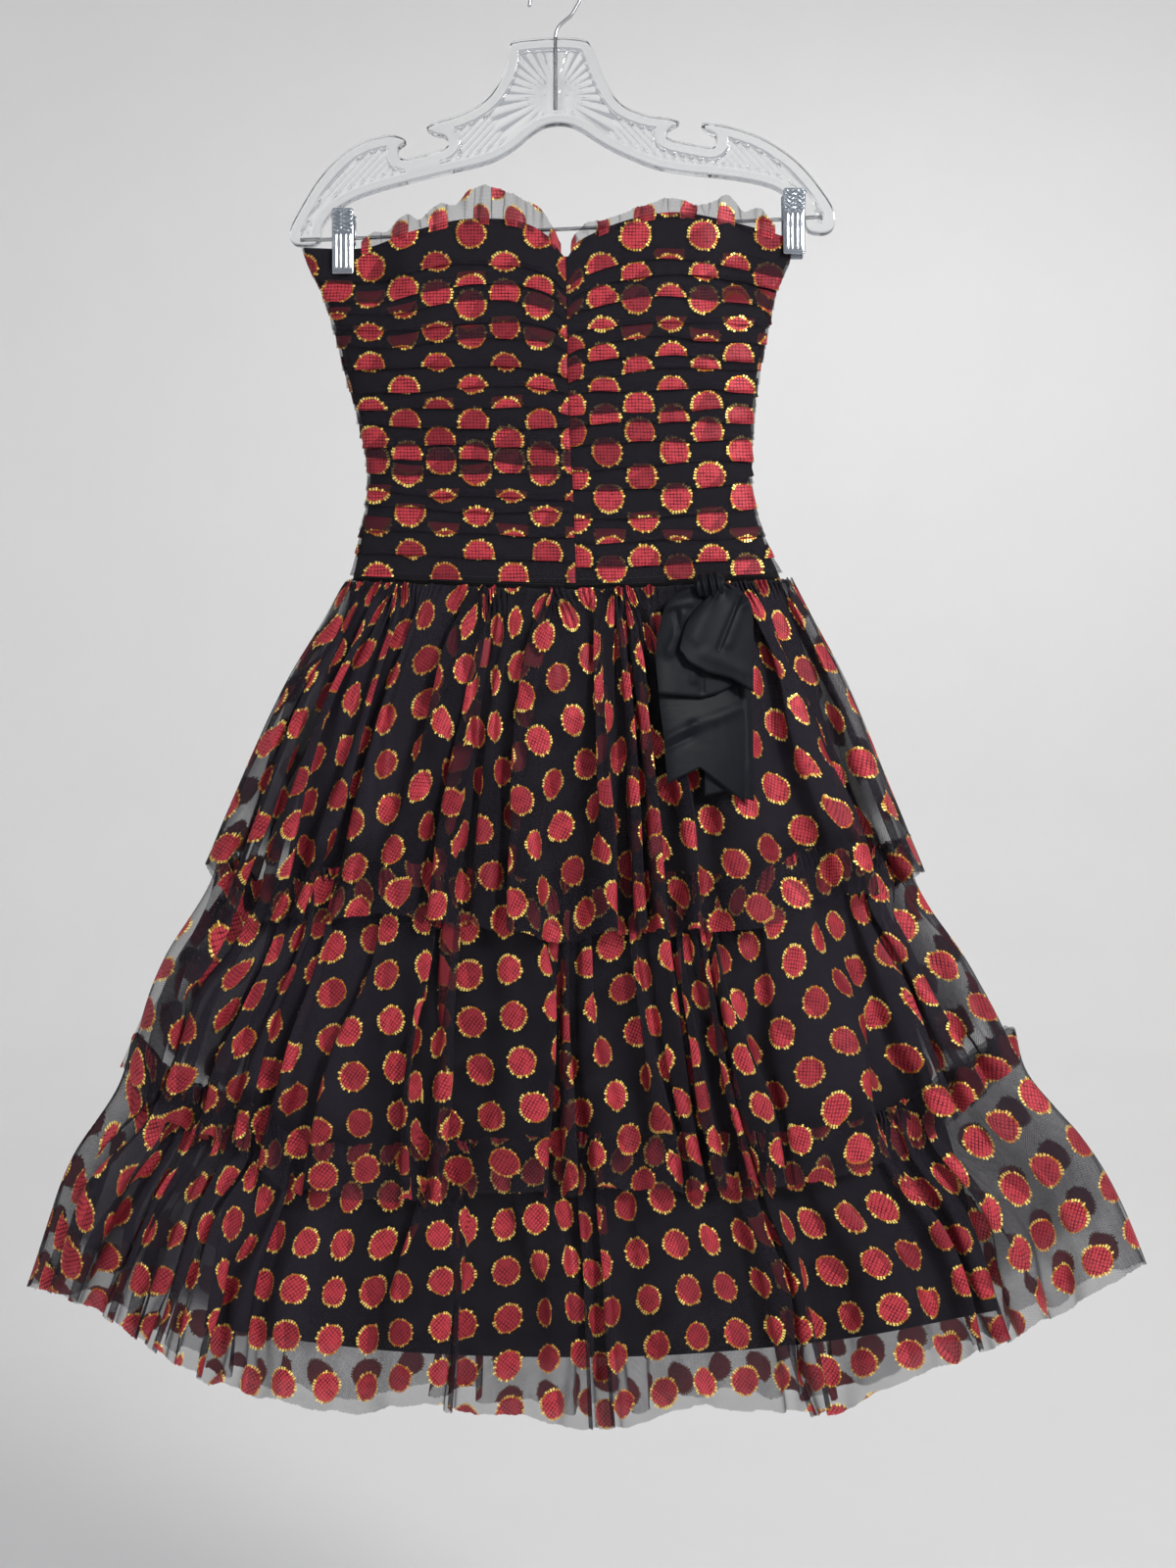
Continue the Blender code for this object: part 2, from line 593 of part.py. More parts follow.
def ribbon_point(ribbon, along, share):
    """An x and z on a ribbon's face: out of the knot, round a bend and down to its end."""
    turn = math.radians(ribbon.start_from + (ribbon.start_to - ribbon.start_from) * share)
    rim = Vector((KNOT_WIDTH / 2 + BOW_RIM, KNOT_HEIGHT / 2 + BOW_RIM))
    start = Vector((KNOT_X + rim.x * math.cos(turn), KNOT_Z + rim.y * math.sin(turn)))
    bend = Vector(ribbon.left_bend).lerp(Vector(ribbon.right_bend), share)
    end = Vector(ribbon.end_from).lerp(Vector(ribbon.end_to), share)
    return start.lerp(bend, along).lerp(bend.lerp(end, along), along)


def build_bow(group):
    """Two swallow tails, two hanging loops over them and the knot that holds them."""
    steps = [i / BOW_STEPS for i in range(BOW_STEPS + 1)]
    for ribbon in RIBBONS:
        if ribbon.belly:
            grid = loop_points(ribbon, steps)
        else:
            grid = np.array([[tail_point(ribbon, along, s) for s in BOW_COLUMNS] for along in steps])
        cloth(ribbon.name, grid, SATIN_WALL, group, SATIN_FINISH)
    build_knot(group)


def tail_point(ribbon, along, share):
    """A point on a tail, whose end is cut to a notch left of its middle."""
    place = ribbon_point(ribbon, along, share)
    rise = ribbon.notch * max(0, 1 - abs(share - NOTCH_AT) / NOTCH_AT) * along ** 3
    return np.array([place.x, -hip_rest(place.y) - ribbon.layer, place.y + rise])


def loop_points(ribbon, steps):
    """A loop's sheet: down its front, round the fold at its foot and up its back."""
    foot = ribbon.belly * loop_swell(1)
    faces = [(along, -ribbon.belly * loop_swell(along), 0) for along in steps]
    faces += [
        (1, -foot * math.cos(turn), foot * math.sin(turn)) for turn in map(math.radians, LOOP_FOLD)
    ]
    faces += [(along, ribbon.belly * loop_swell(along), 0) for along in reversed(steps)]
    return np.array([
        [loop_point(ribbon, along, share, shift, drop) for share in BOW_COLUMNS]
        for along, shift, drop in faces
    ])


def loop_swell(along):
    """How far open a loop is, from the knot to its foot."""
    return 0.5 + 0.5 * along


def loop_point(ribbon, along, share, shift, drop):
    """A point of a loop, `shift` behind its middle and `drop` under its foot."""
    place = ribbon_point(ribbon, along, share)
    return np.array([place.x, -hip_rest(place.y) - ribbon.layer + shift, place.y - drop])


def build_knot(group):
    """The knot, a rounded block that swells at its middle."""
    mesh = bpy.data.meshes.new("bow_knot")
    shape = bmesh.new()
    bmesh.ops.create_cube(shape, size=1)
    for vertex in shape.verts:
        vertex.co = Vector((
            vertex.co.x * KNOT_WIDTH, vertex.co.y * KNOT_DEPTH, vertex.co.z * KNOT_HEIGHT
        )) * MM
    shape.to_mesh(mesh)
    shape.free()
    knot = add_object("bow_knot", mesh, group, SATIN_FINISH)
    depth = hip_rest(KNOT_Z) + KNOT_DEPTH / 2
    knot.location = Vector((KNOT_X, -depth, KNOT_Z)) * MM
    bevel = knot.modifiers.new("round", "BEVEL")
    bevel.width = KNOT_BEVEL * MM
    bevel.segments = 3


def build_zip(group):
    """The chain at the centre back, its slider and the pull that turns on it."""
    top, bottom = edge_z(NECK_BACK, 0), edge_z(HIP, 0)
    bottom += ZIP_END_GAP

    def point(down, across):
        place = body_point(BACK, 0, top + (bottom - top) * down)
        return place + np.array([-across * ZIP_WIDTH / 2, GAP + ZIP_DEPTH, 0])

    cloth("back_zip", sheet_points(ZIP_ROWS, [-1, 1], point), ZIP_DEPTH, group, ZIP_FINISH)
    size = (SLIDER_WIDTH, SLIDER_DEPTH, SLIDER_HEIGHT)
    slider = box("zip_slider", size, SLIDER_BEVEL, group, STEEL_FINISH)
    slider.location = (slider_seat() + Vector((0, SLIDER_DEPTH / 2, 0))) * MM
    slider.rotation_euler = (zip_lean(), 0, 0)
    build_pull(pull_pivot(), group)


def slider_seat():
    """The middle of the slider's inner face."""
    seat = Vector(body_point(BACK, 0, edge_z(NECK_BACK, 0) - SLIDER_DROP - SLIDER_HEIGHT / 2))
    return seat + Vector((0, GAP + ZIP_DEPTH + GAP, 0))


def zip_lean():
    """The slope of the centre back at its top, about X."""
    top = edge_z(NECK_BACK, 0)
    high, low = body_point(BACK, 0, top), body_point(BACK, 0, top - 2 * SLIDER_HEIGHT)
    return math.atan2(low[1] - high[1], high[2] - low[2])


def pull_pivot():
    """Where the pull turns, just clear of the slider's outer face."""
    return slider_seat() + Vector((0, SLIDER_DEPTH + PULL_STAND + PULL_EYE, PULL_RISE))


def build_pull(pivot, group):
    """The pull tab: a narrow eye on its joint's axis and a wider round end under it."""
    outline = bpy.data.curves.new("zip_pull", "CURVE")
    outline.dimensions = "2D"
    outline.fill_mode = "BOTH"
    spline = outline.splines.new("POLY")
    half, foot = PULL_WIDTH / 2, -PULL_LENGTH + PULL_WIDTH / 2
    corners = [(-PULL_EYE, PULL_EYE), (-PULL_NECK_HALF, PULL_NECK)]
    corners += [
        (half * math.cos(math.radians(a)), foot + half * math.sin(math.radians(a)))
        for a in range(180, 361, 30)
    ]
    corners += [(PULL_NECK_HALF, PULL_NECK), (PULL_EYE, PULL_EYE)]
    spline.points.add(len(corners) - 1)
    for point, (x, y) in zip(spline.points, corners):
        point.co = (x * MM, y * MM, 0, 1)
    spline.use_cyclic_u = True
    outline.extrude = PULL_DEPTH / 2 * MM
    pull = add_object("zip_pull", outline, group, STEEL_FINISH)
    pull.location = pivot * MM
    pull.rotation_euler = (math.pi / 2, 0, 0)


def box(name, size, bevel_width, group, finish):
    """A box with its edges rounded, centred on its origin."""
    mesh = bpy.data.meshes.new(name)
    shape = bmesh.new()
    bmesh.ops.create_cube(shape, size=1)
    for vertex in shape.verts:
        vertex.co = Vector([c * s * MM for c, s in zip(vertex.co, size)])
    shape.to_mesh(mesh)
    shape.free()
    item = add_object(name, mesh, group, finish)
    bevel = item.modifiers.new("round", "BEVEL")
    bevel.width = bevel_width * MM
    bevel.segments = 2
    return item


def build_hanger_body(group, cutters):
    """The clear plastic body, bored for the hook's stem and for the bar."""
    outline = bpy.data.curves.new("hanger_outline", "CURVE")
    outline.dimensions = "2D"
    outline.fill_mode = "BOTH"
    spline = outline.splines.new("POLY")
    spline.points.add(len(HANGER_OUTLINE) - 1)
    for point, corner in zip(spline.points, HANGER_OUTLINE):
        point.co = (corner.x * MM, corner.z * MM, 0, 1)
    spline.use_cyclic_u = True
    outline.extrude = HANGER_DEPTH / 2 * MM
    flat = bpy.data.objects.new("hanger_outline", outline)
    group.objects.link(flat)
    flat.rotation_euler = (math.pi / 2, 0, 0)
    bpy.context.view_layer.update()
    evaluated = flat.evaluated_get(bpy.context.evaluated_depsgraph_get())
    mesh = bpy.data.meshes.new_from_object(evaluated)
    mesh.name = "hanger_body"
    shape = bmesh.new()
    shape.from_mesh(mesh)
    bmesh.ops.remove_doubles(shape, verts=shape.verts, dist=0.00001)
    shape.to_mesh(mesh)
    shape.free()
    mesh.materials.clear()
    body = add_object("hanger_body", mesh, group, PLASTIC_FINISH)
    body.matrix_world = flat.matrix_world
    bpy.data.objects.remove(flat, do_unlink=True)
    mouth, foot = upright((0, STEM_MOUTH)), upright((0, HOOK_STEM[0][1] - BORE_PLAY))
    bore(body, "stem_bore", mouth, foot, WIRE / 2 + BORE_PLAY, cutters)
    start, end = upright(BAR_FROM), upright(BAR_TO)
    along = (end - start).normalized()
    for name, place, inward in (("bar_bore_right", start, along), ("bar_bore_left", end, -along)):
        outer = place - inward * BORE_PLAY
        bore(body, name, outer, place + inward * BAR_BORE, BAR / 2 + BORE_PLAY, cutters)


def upright(place):
    """A 3-D point in the hanger's middle plane, from its x and z."""
    return Vector((place[0], 0, place[1]))


def bore(body, name, start, end, radius, cutters):
    """Cut a round hole along a line."""
    mesh = bpy.data.meshes.new(name)
    shape = bmesh.new()
    bmesh.ops.create_cone(
        shape, cap_ends=True, segments=16, radius1=radius * MM, radius2=radius * MM,
        depth=(end - start).length * MM,
    )
    shape.to_mesh(mesh)
    shape.free()
    cutter = bpy.data.objects.new(name, mesh)
    cutters.objects.link(cutter)
    cutter.location = (start + end) / 2 * MM
    cutter.rotation_mode = "QUATERNION"
    cutter.rotation_quaternion = Vector((0, 0, 1)).rotation_difference(end - start)
    cutter.hide_render = True
    cutter.display_type = "WIRE"
    cut = body.modifiers.new(name, "BOOLEAN")
    cut.operation = "DIFFERENCE"
    cut.solver = "EXACT"
    cut.object = cutter


def rod(name, points, diameter, group):
    """A steel wire or rod along a line of points."""
    wire = bpy.data.curves.new(name, "CURVE")
    wire.dimensions = "3D"
    wire.bevel_depth = diameter / 2 * MM
    wire.bevel_resolution = 2
    wire.use_fill_caps = True
    spline = wire.splines.new("POLY")
    spline.points.add(len(points) - 1)
    for point, place in zip(spline.points, points):
        point.co = (*(place * MM), 1)
    return add_object(name, wire, group, STEEL_FINISH)


def hook_points():
    """The hook's wire: up from its foot, out to one side and over to its free end."""
    centre = Vector((0, 0, WIRE / 2 - HOOK_RADIUS))
    points = [upright(place) for place in HOOK_STEM]
    for turn in map(math.radians, HOOK_ARC):
        points.append(centre + HOOK_RADIUS * upright((math.cos(turn), math.sin(turn))))
    return points + [points[-1] + upright(HOOK_TIP)]


def build_hanger(group, cutters):
    """The hanger's body, hook and bar, and the two clips on the bar."""
    build_hanger_body(group, cutters)
    rod("hanger_hook", hook_points(), WIRE, group)
    rod("hanger_bar", [upright(BAR_FROM), upright(BAR_TO)], BAR, group)
    for name, x in CLIPS.items():
        build_clip(name, x, group)


def strip_profile(name, outline, width, place, group):
    """A plate or spring: a closed outline in Y and Z, drawn out along X."""
    curve = bpy.data.curves.new(name, "CURVE")
    curve.dimensions = "2D"
    curve.fill_mode = "BOTH"
    spline = curve.splines.new("POLY")
    spline.points.add(len(outline) - 1)
    for point, (y, z) in zip(spline.points, outline):
        point.co = (y * MM, z * MM, 0, 1)
    spline.use_cyclic_u = True
    curve.extrude = width / 2 * MM
    item = add_object(name, curve, group, STEEL_FINISH)
    item.location = place * MM
    item.rotation_euler = (math.pi / 2, 0, math.pi / 2)
    return item


def build_clip(name, x, group):
    """Two jaws either side of the bar and the spring between them."""
    share = (x - BAR_FROM[0]) / (BAR_TO[0] - BAR_FROM[0])
    height = BAR_FROM[1] + (BAR_TO[1] - BAR_FROM[1]) * share
    place = Vector((x, 0, height))
    faces = [
        (CLIP_TOP, CLIP_ABOVE_BAR), (CLIP_WAIST, CLIP_SHOULDER), (CLIP_WAIST, CLIP_WAIST_FOOT),
        (CLIP_GRIP, CLIP_GRIP_TOP), (CLIP_GRIP, -CLIP_BELOW_BAR),
    ]
    for side, label in ((FRONT, "front"), (BACK, "back")):
        inner = [(side * y, z) for y, z in faces]
        outer = [(side * (y + CLIP_PLATE), z) for y, z in reversed(faces)]
        strip_profile(f"clip_{name}_{label}", inner + outer, CLIP_WIDTH, place, group)
    reach, inside = CLIP_WAIST - GAP, BAR / 2 + SPRING_PLAY
    top, hollow = inside + SPRING_WALL, reach - SPRING_WALL
    spring = [
        (-reach, SPRING_FOOT), (-reach, top), (reach, top), (reach, SPRING_FOOT),
        (hollow, SPRING_FOOT), (hollow, inside), (-hollow, inside), (-hollow, SPRING_FOOT),
    ]
    strip_profile(f"clip_{name}_spring", spring, CLIP_WIDTH - 2 * SPRING_SIDE, place, group)


def main():
    """Build the dress and its hanger."""
    clear_scene()
    group, cutters = collection("strapless_dress"), collection("cutters")
    build_bodice(group)
    build_skirt(group)
    build_bow(group)
    build_zip(group)
    build_hanger(group, cutters)


main()
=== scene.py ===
"""Looks of a strapless party dress that hangs by two clips from a clear skirt hanger.

Metres, +Z up, the dress's front faces -Y and the wearer's left is at +X. Tables are in
millimetres in the row frame, whose origin is under the hook's arc, and `MM` makes them metres.
Net is a single thin sheet that lets the black lining show through; its dots follow the
cloth's own flat coordinates, so they bend, gather and hide in the folds as the cloth does.
"""

import logging
import math
from dataclasses import dataclass, field
from enum import Enum
from typing import Optional, Sequence, Union

import bmesh
import bpy
import numpy as np
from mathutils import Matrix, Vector
from mathutils.geometry import delaunay_2d_cdt


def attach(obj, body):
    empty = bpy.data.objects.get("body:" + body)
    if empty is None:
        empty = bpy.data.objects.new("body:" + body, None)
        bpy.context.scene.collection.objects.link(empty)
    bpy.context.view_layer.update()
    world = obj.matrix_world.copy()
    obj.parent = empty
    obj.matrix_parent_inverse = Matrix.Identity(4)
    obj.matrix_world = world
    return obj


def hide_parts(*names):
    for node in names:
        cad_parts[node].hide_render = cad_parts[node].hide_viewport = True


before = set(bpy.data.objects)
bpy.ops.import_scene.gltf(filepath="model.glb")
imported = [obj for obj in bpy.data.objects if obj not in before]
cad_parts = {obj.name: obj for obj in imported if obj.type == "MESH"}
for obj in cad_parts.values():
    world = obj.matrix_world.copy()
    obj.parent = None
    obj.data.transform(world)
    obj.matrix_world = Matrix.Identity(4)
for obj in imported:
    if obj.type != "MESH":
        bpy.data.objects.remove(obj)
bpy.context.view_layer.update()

log = logging.getLogger("dress")

MM = 0.001
MAIN_BODY = "dress_and_hanger"
PULL_BODY = "pull"
Array = np.ndarray
Row = Sequence[float]
Colour = tuple[float, float, float, float]

# The photograph's eye: level, in front of the dress, over its middle
EYE_X, EYE_Z, EYE_AWAY = 26.0, -652.0, 1250.0
EYE_LENS = 36.0

# Cloth: how far front and back stay apart, how full the oval is, the dots and the tucks
GAP = 0.3
ROUNDNESS = 2.5
DOT_PITCH = 38.3
DOT_RADIUS = 13.0
TUCKS = 17
BIAS = math.pi / 4
# A bodice net has no raw edge near, so it is held to be this far off
NO_EDGE = 50.0
# How deep a ruffle's foot is sewn in, and the lining's wall
SEWN_IN = 14
LINING_WALL = 0.6

# z, right, middle, left, front, back: the lining's outer face
BODY_LEVELS: list[Row] = [
    (-215, -204, 8.6, 188, 11, 8), (-236, -197, 8.7, 185, 15, 8.5), (-255, -187, 8.8, 176, 19, 9),
    (-290, -175, 9.4, 168, 22, 10), (-325, -166, 10, 161, 21, 10), (-356, -157, 11, 157, 19, 10),
    (-410, -148, 13.6, 155, 16, 10), (-430, -149.5, 14.6, 158, 15.5, 10),
    (-457, -155, 15.4, 166, 15.5, 10), (-489, -162, 16.4, 180, 15.5, 10),
    (-640, -200, 19, 227, 19, 12), (-800, -232, 20, 275, 22, 14), (-950, -261, 21, 321, 24, 15),
    (-1110, -286, 22, 366, 26, 16),
]
# share across, z
NECK_FRONT: list[Row] = [
    (-1, -224.6), (-0.75, -224), (-0.58, -211.4), (-0.34, -201.2), (-0.14, -206), (-0.05, -219),
    (0, -232.4), (0.04, -222), (0.12, -213), (0.3, -201), (0.48, -196), (0.73, -203.6), (1, -217),
]
NECK_BACK: list[Row] = [
    (-1, -224.6), (-0.75, -233), (-0.55, -239), (-0.28, -244), (0, -247), (0.28, -243),
    (0.55, -237), (0.75, -230), (1, -217),
]
HIP: list[Row] = [(-1, -489.8), (0, -496), (1, -488.3)]
LINING_HEM: list[Row] = [(-1, -1085), (-0.5, -1104), (0, -1109), (0.6, -1095), (1, -1071)]
SEAM_RISE: list[Row] = [(-1, 30), (-0.7, 42), (0, 47), (0.7, 42), (1, 30)]


class Side(Enum):
    """Which half of the dress a piece belongs to, as the sign of its Y."""

    FRONT = -1
    BACK = 1


def ease(value: Array) -> Array:
    """0 to 1 with level ends."""
    value = np.clip(value, 0, 1)
    return value * value * (3 - 2 * value)


def line(table: Sequence[Row], at: Array, column: int = 1) -> Array:
    """A column of a table whose first column rises, read along a smooth curve.

    Args:
        table: Rows of numbers, the first column in rising or falling order.
        at: Where to read it.
        column: Which column.

    Returns:
        The values, with the same shape as `at`.
    """
    rows = np.array(sorted([tuple(row) for row in table]), float)
    xs, ys = rows[:, 0], rows[:, column]
    steps = np.diff(ys) / np.diff(xs)
    slopes = np.concatenate([steps[:1], (steps[:-1] + steps[1:]) / 2, steps[-1:]])
    turns = np.concatenate([[False], steps[:-1] * steps[1:] <= 0, [False]])
    slopes[turns] = 0
    at = np.clip(np.asarray(at, float), xs[0], xs[-1])
    k = np.clip(np.searchsorted(xs, at) - 1, 0, len(xs) - 2)
    width = xs[k + 1] - xs[k]
    t = (at - xs[k]) / width
    return ((1 + 2 * t) * (1 - t) ** 2 * ys[k] + t * (1 - t) ** 2 * width * slopes[k]
            + t * t * (3 - 2 * t) * ys[k + 1] + t * t * (t - 1) * width * slopes[k + 1])


def ripple(seed: float, *axes: Array) -> Array:
    """Smooth unevenness between about -1 and 1, from a few waves along the given axes."""
    total = 0.0
    for n, size in enumerate((1.0, 0.6, 0.35)):
        angle = seed * (1.7 + n) + 0.9 * n
        for m, axis in enumerate(axes):
            angle = angle + axis * (1.9 ** n) * (1.0 + 0.37 * m)
        total = total + size * np.sin(angle)
    return total / 1.95


def oval_depth(across: Array, roundness: float = ROUNDNESS) -> Array:
    """Depth share of a flattened oval at a share across it."""
    return (1 - np.minimum(np.abs(across), 1) ** roundness) ** (1 / roundness)


def as_seen(points: Array) -> Array:
    """Draw what is nearer than the hanger's plane in, so that the eye sees it in its place."""
    out = np.array(points, float)
    near = (EYE_AWAY + np.minimum(out[..., 1], 0)) / EYE_AWAY
    out[..., 0] = EYE_X + (out[..., 0] - EYE_X) * near
    out[..., 2] = EYE_Z + (out[..., 2] - EYE_Z) * near
    return out


def body_point(side: Side, across: Array, z: Array) -> Array:
    """Points on the lining's outer face.

    Args:
        side: Front or back.
        across: Share across, -1 at the wearer's right seam to 1 at the left.
        z: Heights in millimetres.

    Returns:
        Points in millimetres, with a last axis of three.
    """
    across, z = np.broadcast_arrays(np.asarray(across, float), np.asarray(z, float))
    right, middle, left, front, back = (line(BODY_LEVELS, z, c) for c in range(1, 6))
    x = middle + np.where(across < 0, across * (middle - right), across * (left - middle))
    depth = (front if side is Side.FRONT else back) * oval_depth(across)
    low = ease((z + 276) / 25)
    pinch = low * ease((np.abs(across) - 0.60) / 0.18)
    depth = depth * (1 - pinch) + 2.0 * oval_depth(across, 8) * pinch
    return np.stack([x, side.value * depth, z], axis=-1)


def outward(grid: Array) -> Array:
    """Unit normals of a grid whose rows run down and whose columns run round the dress."""
    normal = np.cross(np.gradient(grid, axis=0), np.gradient(grid, axis=1))
    return normal / np.maximum(np.linalg.norm(normal, axis=2, keepdims=True), 1e-9)


def lengths(x: Array, y: Array) -> Array:
    """Length so far along a line of points, from 0."""
    return np.concatenate([[0], np.cumsum(np.hypot(np.diff(x), np.diff(y)))])


def turned(flat: Array, angle: float) -> Array:
    """Flat cloth, turned by an angle in radians against its pattern."""
    u, v = flat[..., 0], flat[..., 1]
    return np.stack([u * math.cos(angle) - v * math.sin(angle),
                     v * math.cos(angle) + u * math.sin(angle)], axis=-1)


def on_own_side(side: Side, points: Array) -> Array:
    """Points of a half, none of them past the plane between front and back."""
    points[..., 1] = side.value * np.maximum(side.value * points[..., 1], GAP / 2)
    return points


def facing_out(side: Side, *grids: Array) -> list:
    """Grids whose columns run the way that turns the faces outwards."""
    return [grid[:, ::-side.value] for grid in grids]


def ring_faces(rings: int, sides: int) -> list:
    """Faces of a tube of rings, then its first and its last end."""
    faces = []
    for low, high in ((r * sides, (r + 1) * sides) for r in range(rings - 1)):
        faces += [(low + s, low + (s + 1) % sides, high + (s + 1) % sides, high + s)
                  for s in range(sides)]
    return faces + [list(range(sides)), list(range((rings - 1) * sides, rings * sides))]


def new_object(name: str, data: Optional[bpy.types.ID]) -> bpy.types.Object:
    """An object at the origin, linked to the scene."""
    item = bpy.data.objects.new(name, data)
    bpy.context.scene.collection.objects.link(item)
    return item


def grid_mesh(name: str, points: Array, flat: Optional[Array] = None,
              raw: Optional[Array] = None, closed: bool = False,
              bunched: Optional[Array] = None) -> bpy.types.Object:
    """An object from a grid of points.

    Args:
        name: The piece's name.
        points: Rows by columns by three, in millimetres.
        flat: The same points on the flat cloth, in millimetres, for the pattern.
        raw: Distance from a raw edge, in millimetres.
        closed: Whether the last row joins the first.
        bunched: How many times closer the mesh's threads lie where it is turned edge on.

    Returns:
        A smooth-shaded mesh object, linked to the scene.
    """
    rows, columns = points.shape[:2]
    number = np.arange(rows * columns).reshape(rows, columns)
    if closed:
        number = np.concatenate([number, number[:1]])
    quads = np.stack([number[:-1, :-1], number[1:, :-1], number[1:, 1:], number[:-1, 1:]],
                     axis=-1).reshape(-1, 4)
    mesh = bpy.data.meshes.new(name)
    mesh.vertices.add(rows * columns)
    mesh.vertices.foreach_set("co", (points.reshape(-1, 3) * MM).astype(np.float32).ravel())
    mesh.loops.add(quads.size)
    mesh.loops.foreach_set("vertex_index", quads.astype(np.int32).ravel())
    mesh.polygons.add(len(quads))
    mesh.polygons.foreach_set("loop_start", np.arange(0, quads.size, 4, dtype=np.int32))
    mesh.update(calc_edges=True)
    mesh.polygons.foreach_set("use_smooth", np.ones(len(quads), bool))
    if flat is not None:
        layer = mesh.uv_layers.new(name="flat")
        corners = flat.reshape(-1, 2)[quads.ravel()] * MM
        layer.data.foreach_set("uv", corners.astype(np.float32).ravel())
    for label, values, unit in (("raw_edge", raw, MM), ("bunched", bunched, 1)):
        if values is not None:
            stored = mesh.attributes.new(label, "FLOAT", "POINT")
            stored.data.foreach_set("value", (values.reshape(-1) * unit).astype(np.float32))
    return new_object(name, mesh)


def mesh_piece(name: str, points: Sequence, faces: Sequence) -> bpy.types.Object:
    """An object from points in millimetres and faces, with its normals turned outwards."""
    mesh = bpy.data.meshes.new(name)
    shape = bmesh.new()
    made = [shape.verts.new(Vector(p) * MM) for p in points]
    for face in faces:
        shape.faces.new([made[i] for i in face])
    bmesh.ops.recalc_face_normals(shape, faces=shape.faces)
    shape.to_mesh(mesh)
    shape.free()
    mesh.shade_smooth()
    return new_object(name, mesh)


def tube(name: str, path: Array, radius: float, sides: int) -> bpy.types.Object:
    """A round wire along a line of points, with closed ends.

    Args:
        name: The piece's name.
        path: Points in millimetres.
        radius: The wire's radius in millimetres.
        sides: Faces round it.

    Returns:
        The wire's object.
    """
    path = np.asarray(path, float)
    tangent = np.gradient(path, axis=0)
    tangent /= np.linalg.norm(tangent, axis=1, keepdims=True)
    across = np.cross(tangent, (0, 1, 0))
    across /= np.linalg.norm(across, axis=1, keepdims=True)
    up = np.cross(across, tangent)
    turn = np.linspace(0, 2 * math.pi, sides, endpoint=False)
    rings = path[:, None] + radius * (across[:, None] * np.cos(turn)[None, :, None]
                                      + up[:, None] * np.sin(turn)[None, :, None])
    return mesh_piece(name, rings.reshape(-1, 3).tolist(), ring_faces(len(path), sides))


def close_ends(piece: bpy.types.Object) -> None:
    """Fill the two open ends of a piece and turn its faces outwards."""
    shape = bmesh.new()
    shape.from_mesh(piece.data)
    bmesh.ops.remove_doubles(shape, verts=shape.verts, dist=1e-6)
    bmesh.ops.holes_fill(shape, edges=shape.edges, sides=0)
    bmesh.ops.recalc_face_normals(shape, faces=shape.faces)
    shape.to_mesh(piece.data)
    shape.free()


def smooth_path(points: Sequence[Row], count: int) -> Array:
    """A smooth curve through points in X and Z, as points in the hanger's plane."""
    points = np.array(points, float)
    length = np.concatenate([[0], np.cumsum(np.linalg.norm(np.diff(points, axis=0), axis=1))])
    at = np.linspace(0, length[-1], count)
    table = np.column_stack([length, points])
    return np.stack([line(table, at, 1), np.zeros(count), line(table, at, 2)], axis=-1)


def dress_with(piece: bpy.types.Object, material: bpy.types.Material) -> bpy.types.Object:
    """Give a piece its material in place of any it has."""
    piece.data.materials.clear()
    piece.data.materials.append(material)
    return piece


def settle(piece: bpy.types.Object, slot: str, *nodes: str,
           body: str = MAIN_BODY) -> bpy.types.Object:
    """Ride a piece on its body, in place of the nodes that it stands for.

    Args:
        piece: The finished piece.
        slot: The record's material slot; not used.
        nodes: The CAD nodes that it replaces.
        body: The CAD body that it moves with.

    Returns:
        The piece.
    """
    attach(piece, body)
    if nodes:
        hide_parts(*nodes)
    log.info("%s: %d faces, on %s", piece.name, len(piece.data.polygons), body)
    return piece


def wall(piece: bpy.types.Object, thickness: float) -> bpy.types.Object:
    """Give a sheet a wall, in millimetres, on its inner side."""
    solid = piece.modifiers.new("wall", "SOLIDIFY")
    solid.thickness = thickness * MM
    solid.offset = -1.0
    return piece


# ---- finishes ----


@dataclass(frozen=True)
class Wire:
    """An output of a node, which stands in sums like a number does."""

    graph: "Graph"
    socket: bpy.types.NodeSocket

    def __add__(self, other: "Feed") -> "Wire":
        """The sum."""
        return self.graph.math("ADD", self, other)

    def __sub__(self, other: "Feed") -> "Wire":
        """The difference."""
        return self.graph.math("SUBTRACT", self, other)

    def __rsub__(self, other: float) -> "Wire":
        """The difference from a plain number."""
        return self.graph.math("SUBTRACT", other, self)

    def __mul__(self, other: "Feed") -> "Wire":
        """The product."""
        return self.graph.math("MULTIPLY", self, other)

    def __truediv__(self, other: "Feed") -> "Wire":
        """The quotient."""
        return self.graph.math("DIVIDE", self, other)

    def __abs__(self) -> "Wire":
        """The value without its sign."""
        return self.graph.math("ABSOLUTE", self)


Feed = Union[Wire, float, Colour]


